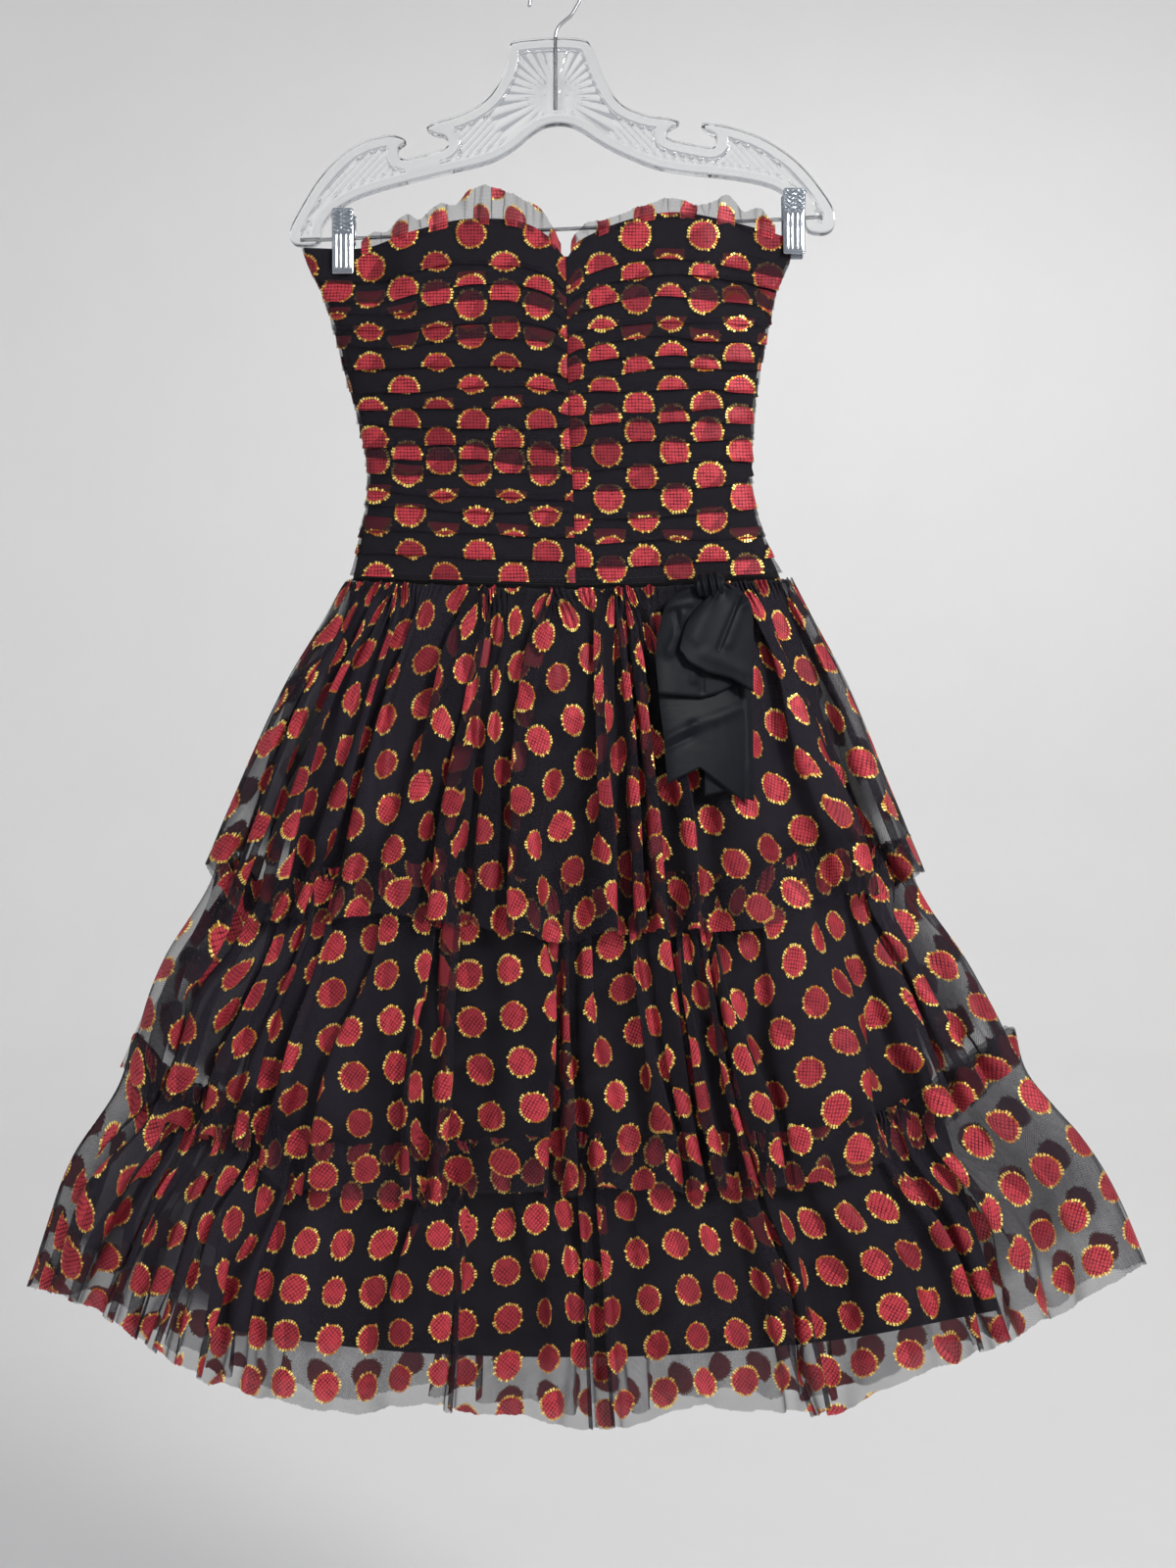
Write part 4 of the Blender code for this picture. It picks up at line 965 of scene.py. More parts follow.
@dataclass
class Tier:
    """A gathered strip of dotted net, as a front and a back half.

    The rows are down, right, left, front, back, front wave and back wave. The hem is share
    across and z, the tightness is place along the hem and cloth for each length of hem, and
    the layers are share across and how many times the net lies over itself in small gathers.
    The drop is where the cut starts on the pattern and the grain is its turn in degrees.
    """

    name: str
    hem: list
    rows: list
    seed: int
    tightness: Sequence[Row]
    drop: float = 0.0
    over: Optional["Tier"] = None
    grain: float = 0.0
    layers: Sequence[Row] = tuple(SIDE_LAYERS)

    def seam_z(self, across: Array) -> Array:
        """Height of the seam at its top."""
        if self.over is None:
            return line(HIP, across) - GAP
        return line(self.over.hem, across) + line(SEAM_RISE, across)

    def hem_z(self, across: Array) -> Array:
        """Height of its raw hem."""
        return line(self.hem, across)

    def half(self, side: Side) -> tuple:
        """The folded cloth of one half.

        Args:
            side: Front or back.

        Returns:
            The points, the flat cloth and the distance from the raw hem, in millimetres, how
            closely the mesh is bunched, and the cloth's length.
        """
        fine = np.sin(np.linspace(-math.pi / 2, math.pi / 2, 900))
        deep = oval_depth(fine)
        share = np.concatenate([np.linspace(0, 0.16, 12)[:-1], np.linspace(0.16, 1, 34)])
        points, flat, raw, bunched = [], [], [], []
        column = 3 if side is Side.FRONT else 4
        edge = [(self.rows[-1][2] - self.rows[-1][1]) / 2 * fine, self.rows[-1][column] * deep]
        bottom = float(np.hypot(*np.diff(edge, axis=1)).sum())
        hidden = side is Side.BACK
        fold = Meander(bottom, self.tightness, self.seed + 50 * hidden,
                       spacing=BACK_SPACING if hidden else FRONT_SPACING)
        for down in share:
            right, left = line(self.rows, down, 1), line(self.rows, down, 2)
            depth, wave = line(self.rows, down, column), line(self.rows, down, column + 2)
            x = (right + left) / 2 + fine * (left - right) / 2
            y = deep * depth
            run = lengths(x, y)
            gather = math.exp(-((down / 0.11) ** 1.3))
            along, out = fold.row(run[-1], gather, down)
            out = wave * np.tanh(out / wave)
            across = np.interp(along, run, fine)
            tangent_x, tangent_y = np.gradient(x, run), np.gradient(y, run)
            nx, ny = -np.interp(along, run, tangent_y), np.interp(along, run, tangent_x)
            calm = ease((1 - np.abs(across)) / 0.05)
            out = out * (0.25 + 0.75 * calm)
            px = np.interp(along, run, x) + nx * out
            py = np.maximum(np.interp(along, run, y) + ny * out * calm, GAP / 2)
            top, hem = self.seam_z(across), self.hem_z(across)
            ragged = (1.6 * ripple(self.seed, fold.s / 9.0)
                      + 2.0 * ripple(self.seed + 4, across * 21))
            fray = 2.2 * ripple(self.seed + 9, fold.s / 6.5) * max(0.0, 1 - down / 0.012)
            z = top + (hem - top + (ragged + 0.22 * out) * down) * down + fray
            points.append(np.stack([px, side.value * py, z], axis=-1))
            length = top - hem
            shift = self.drop + SLIP * fold.slip + DRIFT * ripple(self.seed + 15, fold.s / 95)
            flat.append(np.stack([fold.s, down * length * 1.02 + shift], axis=-1))
            raw.append((1 - down) * length)
            loose = ease((down - LOOSE_FROM) / LOOSE_OVER)
            thick = 1 + (line(self.layers, across) - 1) * (1 - loose)
            bunched.append(np.maximum(edge_on(px, py), thick))
        cloth = turned(np.array(flat), math.radians(self.grain)) + (11.0 * self.seed, 0)
        points, flat, raw, bunched = facing_out(
            side, np.array(points), cloth, np.array(raw), np.array(bunched))
        return as_seen(points), flat, raw, bunched, fold.length

    def build(self, finishes: Finishes) -> list:
        """Make, dress and settle both halves."""
        made = []
        for side in Side:
            name = f"{self.name}_{side.name.lower()}"
            points, flat, raw, bunched, length = self.half(side)
            piece = dress_with(grid_mesh(f"net_{name}", points, flat, raw, bunched=bunched),
                               finishes.net)
            settle(piece, "red_net", name)
            spots = np.linspace(-0.9, 0.9, 50)
            height = float(np.mean(self.seam_z(spots) - self.hem_z(spots)))
            log.info("%s: cut %.0f by %.0f mm", piece.name, length, height)
            length * MM
            made.append(piece)
        return made


def make_tiers() -> list:
    """The three tiers from the hip down, each sewn on under the one above."""
    first = Tier(
        "tier_1",
        hem=[(-1, -716), (-0.88, -764), (-0.51, -759), (-0.31, -765), (0, -777), (0.25, -769),
             (0.55, -768), (0.70, -746), (0.87, -740), (1, -723)],
        rows=[(0, -168, 189, 17.8, 12.6, 1.8, 1.6), (0.12, -182, 203, 21, 15, 3.6, 2.8),
              (0.35, -213, 231, 29, 20.5, 7, 5), (1, -279, 296, 46, 33, 13, 10)],
        seed=3,
        tightness=((0, 1.8), (0.04, 2.6), (0.15, 2.4), (0.20, 1.3), (0.25, 1.06), (0.28, 1.4),
                   (0.33, 3.4), (0.37, 1.3), (0.42, 1.2), (0.46, 3.0), (0.50, 1.06), (0.55, 1.06),
                   (0.60, 3.2), (0.66, 2.8), (0.70, 1.4), (0.76, 1.2), (0.81, 1.06), (0.87, 1.15),
                   (0.90, 2.3), (0.97, 2.6), (1, 1.8)),
        drop=4.7, grain=22.0)
    second = Tier(
        "tier_2",
        hem=[(-1, -878), (-0.90, -922), (-0.76, -942), (-0.66, -970), (-0.5, -985), (0, -978),
             (0.63, -964), (0.77, -940), (0.92, -898), (1, -872)],
        rows=[(0, -268, 283, 30.5, 20, 1.5, 1.3), (0.2, -272, 287, 32.5, 21, 3.2, 2.6),
              (0.55, -311, 325, 39, 26, 8, 6), (1, -346, 374, 48, 34, 13, 10)],
        seed=7,
        tightness=((0, 1.8), (0.04, 2.6), (0.15, 2.4), (0.19, 1.6), (0.24, 1.06), (0.29, 1.1),
                   (0.33, 3.0), (0.37, 1.1), (0.43, 1.06), (0.47, 1.5), (0.51, 3.2), (0.55, 1.1),
                   (0.60, 1.06), (0.65, 3.2), (0.72, 2.8), (0.76, 1.3), (0.82, 1.06), (0.85, 1.5),
                   (0.89, 2.3), (0.96, 2.6), (1, 1.8)),
        drop=23.0, over=first, grain=15.0)
    third = Tier(
        "tier_3",
        hem=[(-1, -1052), (-0.86, -1078), (-0.70, -1124), (-0.47, -1151), (-0.21, -1152),
             (0.03, -1168), (0.17, -1152), (0.45, -1151), (0.62, -1120), (0.80, -1086), (1, -1035)],
        rows=[(0, -336, 365, 32, 20.6, 1.5, 1.3), (0.21, -347, 376, 34, 22, 3.4, 2.6),
              (0.5, -384, 424, 40, 27, 8, 6), (1, -421, 472, 50, 35, 14, 11)],
        seed=12,
        tightness=((0, 1.6), (0.03, 2.4), (0.10, 2.6), (0.19, 2.3), (0.23, 1.2), (0.30, 1.06),
                   (0.34, 1.3), (0.38, 2.8), (0.42, 1.06), (0.48, 1.1), (0.52, 2.8), (0.56, 1.06),
                   (0.62, 1.2), (0.66, 1.06), (0.70, 3.0), (0.75, 1.3), (0.80, 1.06), (0.85, 2.2),
                   (0.89, 2.6), (0.92, 1.5), (0.96, 1.1), (1, 1.3)),
        drop=11.0, over=second, grain=4.0,
        layers=((-1, 1.3), (-0.97, 1.6), (-0.92, 4.2), (-0.58, 4.2), (-0.45, 1.0), (0.5, 1.0),
                (0.66, 2.2), (0.94, 2.0), (1, 1.3)))
    return [first, second, third]


# ---- bodice ----


@dataclass
class Bodice:
    """Tucked net over a black lining, open at the neck, with a ruffled raw edge."""

    columns: int = 104
    back_columns: int = 64
    first_lip: float = 0.115
    last_lip: float = 0.985
    hidden: float = 0.026
    face_rows: int = 6
    bones: tuple = (-0.72, -0.38, 0.0, 0.38, 0.72)

    def panel_z(self, side: Side, across: Array, down: Array) -> Array:
        """Heights on a panel between the neck and the hip."""
        table = NECK_FRONT if side is Side.FRONT else NECK_BACK
        level = -212.0 if side is Side.FRONT else -238.0
        edge = (line(table, across) - level) * np.clip(1 - down, 0, 1) ** 3
        return level + (line(HIP, across) - level) * down + edge

    def tuck_rows(self, seed: float, across: Array) -> tuple:
        """The rows of a half: down the face of each tuck, round its lip and back up behind.

        Args:
            seed: Unevenness of this half.
            across: Shares across, one a column.

        Returns:
            Share down of every row and column, and the stand-off of every row.
        """
        chance = np.random.default_rng(int(seed * 10))
        gaps = 0.65 + 0.7 * chance.random(TUCKS - 1)
        lips = self.first_lip + np.concatenate([[0], np.cumsum(gaps)]) / gaps.sum() * (
            self.last_lip - self.first_lip)
        down, stand, start = [], [], 0.0 * across
        for tuck, middle in enumerate(lips):
            calm = math.sin(math.pi * min(middle, 1.0)) ** 0.6
            slow = ripple(seed, across * 3.3, tuck * 1.9 + 0 * across)
            quick = ripple(seed + 2, across * 11, tuck * 4.1 + 0 * across)
            lip = middle + calm * (0.0105 * slow + 0.0035 * quick)
            hidden = self.hidden * (0.35 + 1.1 * chance.random()) * (1 + 0.35 * ripple(
                seed + 7 + tuck * 2.3, across * 2.6))
            hidden = np.maximum(hidden, 0.004)
            full = 1.5 + 0.7 * chance.random()
            for step in range(self.face_rows + 1):
                share = step / self.face_rows
                down.append(start + (lip - start) * share)
                stand.append(0.35 + full * share ** 1.3)
            if tuck == TUCKS - 1:
                break
            for shift, height in ((0.0012, full), (0.0002, 1.45), (-hidden * 0.5, 1.15),
                                  (-hidden, 0.85)):
                down.append(lip + shift)
                stand.append(height)
            start = lip - hidden - 0.001
        return np.array(down), np.array(stand)

    def net_half(self, side: Side, hand: int, seed: float) -> tuple:
        """One half of the tucked net.

        Args:
            side: Front or back.
            hand: -1 for the wearer's right, 1 for the left.
            seed: Unevenness of this half.

        Returns:
            Its points, its flat cloth, and the cloth's length and width, in millimetres.
        """
        inner = 0.0016 if side is Side.FRONT else 0.018
        columns = self.columns if side is Side.FRONT else self.back_columns
        share = np.linspace(0, 1, columns) ** 0.96
        across = hand * (inner + (1 - inner) * share)
        across = np.sort(across)[::-side.value]
        down, stand = self.tuck_rows(seed, across)
        a = across[None, :] + 0 * down
        base = body_point(side, a, self.panel_z(side, a, down))
        level = np.linspace(0, 1, len(down))[:, None] + 0 * a
        normal = outward(body_point(side, a, self.panel_z(side, a, level)))
        normal[:, np.abs(across) > 0.999, 1] = 0
        normal /= np.maximum(np.linalg.norm(normal, axis=2, keepdims=True), 1e-9)
        crumple = 1 + 0.35 * ripple(seed + 5, a * 9, down * 60)
        held = ease(np.abs(a) / 0.03)
        height = 0.7 + stand[:, None] * crumple * (0.35 + 0.65 * held)
        points = on_own_side(side, base + normal * height[:, :, None])
        steps = np.linalg.norm(np.diff(points, axis=0), axis=2)
        length = np.concatenate([np.zeros((1, len(across))), np.cumsum(steps, axis=0)])
        beside = np.linalg.norm(np.diff(base[..., :2], axis=1), axis=2)
        width = np.concatenate([np.zeros((len(down), 1)), np.cumsum(beside, axis=1)], axis=1)
        if (hand < 0) == (side is Side.FRONT):
            width = width - width[:, -1:]
        z = base[..., 2]
        extra = (length + z - z[:1]).mean(axis=1, keepdims=True)
        flat = turned(np.stack([width + 37 * seed, extra - z - 200 + 23 * seed], axis=-1), -BIAS)
        widest = float(np.abs(width).max(axis=1).mean())
        return as_seen(points), flat, float(length[-1].mean()), widest

    def build(self, finishes: Finishes) -> None:
        """Make, dress and settle every bodice panel, lining and ruffle."""
        self.build_linings(finishes)
        halves = [("front_right", Side.FRONT, -1, 0.6), ("front_left", Side.FRONT, 1, 2.9),
                  ("back_right", Side.BACK, -1, 4.1), ("back_left", Side.BACK, 1, 5.7)]
        for name, side, hand, seed in halves:
            points, flat, length, width = self.net_half(side, hand, seed)
            raw = np.full(points.shape[:2], NO_EDGE)
            piece = dress_with(grid_mesh(f"net_bodice_{name}", points, flat, raw), finishes.net)
            settle(piece, "red_net", f"bodice_{name}")
            width * MM * 1.02
            length * MM
        ruffles = [
            Ruffle("neck_ruffle_front_right", Side.FRONT, 21, [
                (-0.78, 7), (-0.73, 12), (-0.68, 8), (-0.6, 17), (-0.55, 9), (-0.47, 17),
                (-0.42, 13), (-0.36, 26), (-0.26, 25), (-0.17, 21), (-0.08, 16), (-0.02, 8)]),
            Ruffle("neck_ruffle_front_left", Side.FRONT, 33, [
                (0.02, 9), (0.1, 11), (0.22, 7), (0.35, 10), (0.48, 12), (0.56, 9), (0.64, 12),
                (0.72, 21), (0.79, 13), (0.86, 17), (0.93, 8)]),
            Ruffle("neck_ruffle_back_right", Side.BACK, 45, [
                (-0.78, 7), (-0.6, 12), (-0.42, 10), (-0.25, 13), (-0.05, 9)]),
            Ruffle("neck_ruffle_back_left", Side.BACK, 57, [
                (0.05, 9), (0.25, 13), (0.45, 10), (0.68, 14), (0.93, 8)]),
        ]
        for ruffle in ruffles:
            ruffle.build(finishes)

    def build_linings(self, finishes: Finishes) -> None:
        """The black lining of the bodice, with its boned seams and bound edge."""
        panels = [("front", Side.FRONT, -1.0, 1.0), ("back_right", Side.BACK, -1.0, 0.0),
                  ("back_left", Side.BACK, 0.0, 1.0)]
        for name, side, low, high in panels:
            across = np.linspace(low, high, 110 if side is Side.FRONT else 56)[::-side.value]
            down = np.concatenate([[0.0, 0.004, 0.014, 0.02], np.linspace(0.03, 1, 28)])
            a, d = np.meshgrid(across, down)
            base = body_point(side, a, self.panel_z(side, a, d))
            normal = outward(base)
            bones = sum(np.exp(-((a - at) / 0.018) ** 2) for at in self.bones)
            bound = 0.5 * np.exp(-((d - 0.01) / 0.006) ** 2)
            points = on_own_side(side, base - normal * (0.5 - 0.35 * bones - bound)[..., None])
            piece = wall(grid_mesh(f"linen_bodice_{name}", as_seen(points)), LINING_WALL)
            dress_with(piece, finishes.lining)
            settle(piece, "black_lining", f"bodice_lining_{name}")


@dataclass
class Ruffle:
    """A length of raw net edge that stands above the neckline."""

    name: str
    side: Side
    seed: int
    heights: list
    tightness: Sequence[Row] = ((0, 1.4), (0.2, 1.9), (0.4, 1.3), (0.6, 2.0), (0.8, 1.4), (1, 1.7))

    def build(self, finishes: Finishes) -> None:
        table = NECK_FRONT if self.side is Side.FRONT else NECK_BACK
        low, high = self.heights[0][0], self.heights[-1][0]
        fine = np.linspace(low, high, 400)
        edge = body_point(self.side, fine, line(table, fine))
        run = lengths(edge[:, 0], edge[:, 2])
        fold = Meander(float(run[-1]), self.tightness, self.seed, (26.0, 50.0), spacing=0.8,
                       gather=7.0)
        points, flat, raw, bunched = [], [], [], []
        for up in np.linspace(1, -0.35, 15):
            rise = max(up, 0)
            along, out = fold.row(run[-1], 0.35 * (1 - rise) ** 2, 0.8 + rise / 5)
            most = 1.0 + 6.6 * rise
            out = most * np.tanh(out / most)
            across = np.interp(along, run, fine)
            height = line(self.heights, across) * (1 + 0.10 * ripple(self.seed, across * 31))
            z = line(table, across)
            base = body_point(self.side, across, z)
            lean = 1.1 + 2.6 * rise ** 1.3 * (1 + 0.6 * ripple(self.seed + 3, across * 12))
            y = np.abs(base[:, 1]) + lean + out - (1.2 * (-up) if up < 0 else 0)
            stands = height * up if up > 0 else SEWN_IN * up + 0 * height
            z = z + stands - 0.06 * out * rise
            points.append(np.stack([base[:, 0], self.side.value * y, z], axis=-1))
            flat.append(np.stack([fold.s + 9 * self.seed, -stands], axis=-1))
            raw.append(height * (1 - up) if up > 0 else 30 + 0 * height)
            bunched.append(np.minimum(1.2 * edge_on(base[:, 0], y), 3.2))
        points, flat, raw, bunched = facing_out(
            self.side, as_seen(np.array(points)), turned(np.array(flat), -BIAS), np.array(raw),
            np.array(bunched))
        piece = dress_with(grid_mesh("net_" + self.name, points, flat, raw, bunched=bunched),
                           finishes.ruffle_net)
        settle(piece, "red_net", self.name)
        log.info("%s: cut %.0f mm long", piece.name, fold.length)
        tall = float(np.mean(line(self.heights, fine))) + 5.0


@dataclass
class SkirtLining:
    """The plain black skirt under the tiers."""

    columns: int = 130

    def build(self, finishes: Finishes) -> None:
        """Make, dress and settle its two halves, with a stitched hem."""
        for side in Side:
            across = np.sin(np.linspace(-math.pi / 2, math.pi / 2, self.columns))
            down = [*np.linspace(0, 0.965, 26), 0.972, 0.976, 0.980, 0.99, 0.997, 1.0]
            a, d = np.meshgrid(across[::-side.value], down)
            top, hem = line(HIP, a) - GAP, line(LINING_HEM, a)
            base = body_point(side, a, top + (hem - top) * d)
            normal = outward(base)
            calm = ease((1 - np.abs(a)) / 0.1)
            soft = 1.6 * ripple(1.3 * side.value, a * 9, d * 1.5) * ease(d * 1.3) * calm
            hemmed = -0.5 * np.exp(-((d - 0.975) / 0.002) ** 2) + 0.35 * ease((d - 0.975) / 0.004)
            lift = soft + hemmed - 0.8 - 1.4 * ease(d)
            points = on_own_side(side, base + normal * lift[..., None])
            name = side.name.lower()
            piece = wall(grid_mesh(f"linen_skirt_{name}", as_seen(points)), LINING_WALL)
            dress_with(piece, finishes.skirt_lining)
            settle(piece, "black_lining", f"skirt_lining_{name}")


# ---- bow ----


@dataclass(frozen=True)
class Ribbon:
    """One flat length of the bow, in front of the skirt.

    Its foot is rows of share across and how far the end rises there. Its creases are rows of
    start x, start z, end x, end z, height and width.
    """

    name: str
    layer: float
    left_edge: tuple
    right_edge: tuple
    foot: tuple = ((0, 0), (1, 0))
    belly: float = 0.0
    creases: tuple = ()


@dataclass
class Bow:
    """A black satin bow at the wearer's left hip: two hanging loops, two tails and a knot."""

    steps: int = 84
    columns: int = 60
    knot_x: float = 123.5
    knot_z: float = -494.0
    hip_z: float = -496.0
    ribbons: tuple = (
        Ribbon("bow_tail_back", 0.6,
               ((126, -510), (122, -560), (120, -600), (119, -630), (119, -661.5)),
               ((150, -512), (154, -545), (157, -590), (158, -632), (158.6, -666)),
               ((0, 0), (0.43, 6.0), (1, 0)),
               creases=((152, -560, 155, -640, 0.8, 2.5),)),
        Ribbon("bow_tail_front", 2.6,
               ((112, -508), (92, -540), (82.5, -579), (86, -612), (89.4, -651.8)),
               ((138, -508), (144, -545), (146, -577), (151, -605), (150.8, -666.7)),
               ((0, 0), (0.42, 19.0), (1, 0)),
               creases=((88, -616, 111, -605, 1.7, 4.5), (111, -605, 148, -591, 1.3, 5.0),
                        (88, -624, 108, -614, -1.5, 3.2), (132, -600, 146, -655, 0.7, 6.0))),
        Ribbon("bow_loop_inner", 5.6,
               ((116, -493), (99, -498.6), (87, -512), (80, -548), (82.2, -578.8)),
               ((134, -499), (146, -515), (150, -535), (146, -553), (141.1, -572.3)),
               ((0, 0), (0.3, -3.6), (0.6, -6.7), (0.8, -5.0), (1, 0)), 2.4,
               creases=((102, -517, 91, -546, 1.6, 4.5), (88, -511, 107, -508, 1.2, 3.0),
                        (96, -514, 99, -530, -1.6, 2.2), (110, -557, 110, -569, 1.2, 3.2),
                        (117, -563, 117, -579, -1.3, 1.5))),
        Ribbon("bow_loop_outer", 10.6,
               ((127, -497), (114, -510.5), (106, -521), (102, -532), (99.1, -543.8)),
               ((137, -491), (150, -499.5), (156.5, -512), (158, -545), (157.9, -576.8)),
               ((0, 0), (0.12, -6.0), (0.38, -5.3), (0.69, 0.6), (1, 0)), 3.2,
               creases=((147, -502, 130, -545, -1.7, 1.5), (151, -506, 138, -540, 0.9, 4.0),
                        (128, -500, 112, -535, 0.8, 6.0), (150, -510, 157, -505, 1.2, 3.0),
                        (120, -548, 150, -562, 0.7, 5.0))),
    )

    def rest(self, z: Array) -> Array:
        """How far in front of the hanger's plane the skirt lets the bow hang."""
        return 21.5 + 0.165 * np.maximum(self.hip_z - z, 0) * 0.9

    @staticmethod
    def creased(x: Array, z: Array, creases: tuple) -> Array:
        """The height of straight soft creases at places on a ribbon.

        Args:
            x: Places across, in millimetres.
            z: Heights of the places, in millimetres.
            creases: Rows of start x, start z, end x, end z, height and width.

        Returns:
            The height out from the ribbon, in millimetres.
        """
        total = 0.0 * x
        for x0, z0, x1, z1, height, width in creases:
            size = (x1 - x0) ** 2 + (z1 - z0) ** 2
            t = np.clip(((x - x0) * (x1 - x0) + (z - z0) * (z1 - z0)) / size, 0, 1)
            away = np.hypot(x - x0 - t * (x1 - x0), z - z0 - t * (z1 - z0))
            total = total + 0.6 * height * np.exp(-((away / width) ** 2))
        return total

    def face(self, ribbon: Ribbon, along: Array, share: Array) -> tuple:
        """Places on a ribbon and the height of its creases and gathers there."""
        left, right = np.array(ribbon.left_edge, float), np.array(ribbon.right_edge, float)
        knots = np.linspace(0, 1, len(left))
        lx, lz = (line(np.column_stack([knots, left[:, i]]), along) for i in (0, 1))
        rx, rz = (line(np.column_stack([knots, right[:, i]]), along) for i in (0, 1))
        x, z = lx + (rx - lx) * share, lz + (rz - lz) * share
        foot = np.array(ribbon.foot, float)
        z = z + np.interp(share, foot[:, 0], foot[:, 1]) * along ** (4 if ribbon.belly else 3)
        height = self.creased(x, z, ribbon.creases)
        pleats = np.exp(-((along / 0.16) ** 2)) * 1.2 * np.sin(share * 2 * math.pi * 3.5 + 0.6)
        round_edge = -1.3 * np.abs(2 * share - 1) ** 5
        return x, z, height + pleats + round_edge

    def sheet(self, ribbon: Ribbon) -> tuple:
        """The points of a ribbon and its flat cloth."""
        share = (1 - np.cos(np.linspace(0, math.pi, self.columns))) / 2
        along = np.linspace(0, 1, self.steps)
        s, t = np.meshgrid(share, along)
        x, z, height = self.face(ribbon, t, s)
        wave = 0.7 * np.sin(s * 4.0 + t * 3.2 + ribbon.layer)
        swell = ribbon.belly * (0.45 + 0.55 * t)
        y = -(self.rest(z) + ribbon.layer + swell + height + wave * t)
        front = np.stack([x, y, z], axis=-1)
        if not ribbon.belly:
            return front, np.stack([s * 62, t * 165], axis=-1)
        turn = np.linspace(0, math.pi, 12)[1:-1, None]
        foot = self.face(ribbon, np.ones((1, self.columns)), share[None, :])
        reach = ribbon.belly
        fading = (foot[2] + wave[-1:]) * (0.5 + 0.5 * np.cos(turn))
        fold_y = -(self.rest(foot[1]) + ribbon.layer + reach * np.cos(turn) + fading)
        fold = np.stack([foot[0] + 0 * turn, fold_y, foot[1] - reach * 0.7 * np.sin(turn)], axis=-1)
        back_y = -(self.rest(z) + ribbon.layer - swell)
        back = np.stack([x, back_y, z], axis=-1)[::-1]
        points = np.concatenate([front, fold, back])
        rows = np.linspace(0, 2, len(points))[:, None] + 0 * share[None, :]
        return points, np.stack([share[None, :] * 60 + 0 * rows, rows * 80], axis=-1)

    def build(self, finishes: Finishes) -> None:
        for ribbon in self.ribbons:
            points, flat = self.sheet(ribbon)
            piece = wall(grid_mesh("satin_" + ribbon.name, as_seen(points), flat), 0.5)
            dress_with(piece, finishes.satin)
            settle(piece, "black_satin", ribbon.name)
        self.build_knot(finishes)

    def build_knot(self, finishes: Finishes) -> None:
        """The knot: satin wrapped round the ribbons, pinched into small pleats."""
        across = np.linspace(-1, 1, 60)
        turn = np.linspace(0, 2 * math.pi, 72, endpoint=False)
        a, t = np.meshgrid(across, turn)
        round_end = (1 - np.abs(a) ** 3.2) ** 0.42
        shown = (1 - a * a) * np.clip(0.4 - np.cos(t), 0, 1)
        pleat = 1.5 * np.sin(a * 13.0 + 2.4 * np.sin(t) + 0.5) * shown
        x = self.knot_x + a * 12.6
        reach = 10.6 * round_end + pleat * 0.5
        depth = 6.2 * round_end + pleat
        y = -(self.rest(np.array(self.hip_z)) + 8.2) + depth * np.cos(t)
        z = self.knot_z + reach * np.sin(t) * (1 + 0.06 * np.sin(a * 5))
        flat = np.stack([a * 12, t * 9], axis=-1)
        points = as_seen(np.stack([x, y, z], axis=-1))
        piece = grid_mesh("satin_bow_knot", points, flat, closed=True)
        close_ends(piece)
        dress_with(piece, finishes.satin)
        settle(piece, "black_satin", "bow_knot")


# ---- hanger ----


HANGER_OUTLINE: list[Row] = [
    (28.5, -62), (20, -59), (0, -57.8), (-28, -60), (-37.5, -62.5), (-39, -83.5), (-51.5, -105.3),
    (-69.4, -117.8), (-105.7, -128.5), (-96.3, -135.5), (-86.6, -136.5), (-84.2, -145.1),
    (-104, -151.5), (-123.2, -156), (-126.4, -146.6), (-116.5, -139.9), (-129.5, -134.9),
    (-147, -138.5), (-162.2, -145), (-179, -159), (-192.7, -176.3), (-204, -196), (-212, -211),
    (-211, -220), (-206, -223.6), (-187, -223.2), (-185.6, -209), (-181, -201.2), (-173, -193.4),
    (-152.9, -182.5), (-100.6, -168.5), (-51.5, -157.6), (-33, -147), (-20.3, -135.7), (-9, -128.2),
    (2.3, -126.2), (13, -127.8), (22.6, -132.6), (36, -142), (53.8, -151.3), (84.2, -163.8),
    (145.9, -170), (173.9, -176.3), (188, -186.4), (198.9, -195.5), (198.9, -212.5),
    (213.7, -214.8), (221.5, -211), (223.1, -203), (221, -192), (205.1, -170), (192, -156),
    (177.1, -145.1),
    (162, -136.5), (145.9, -131), (134.8, -127.9), (113.9, -125.4), (121.4, -133.3),
    (128.7, -136), (128, -146.6), (108, -143), (88, -138.6), (88.9, -131.8), (101.4, -125.8),
    (90.5, -122), (72.5, -120.5), (50.7, -111.5), (38.2, -89.7),
]


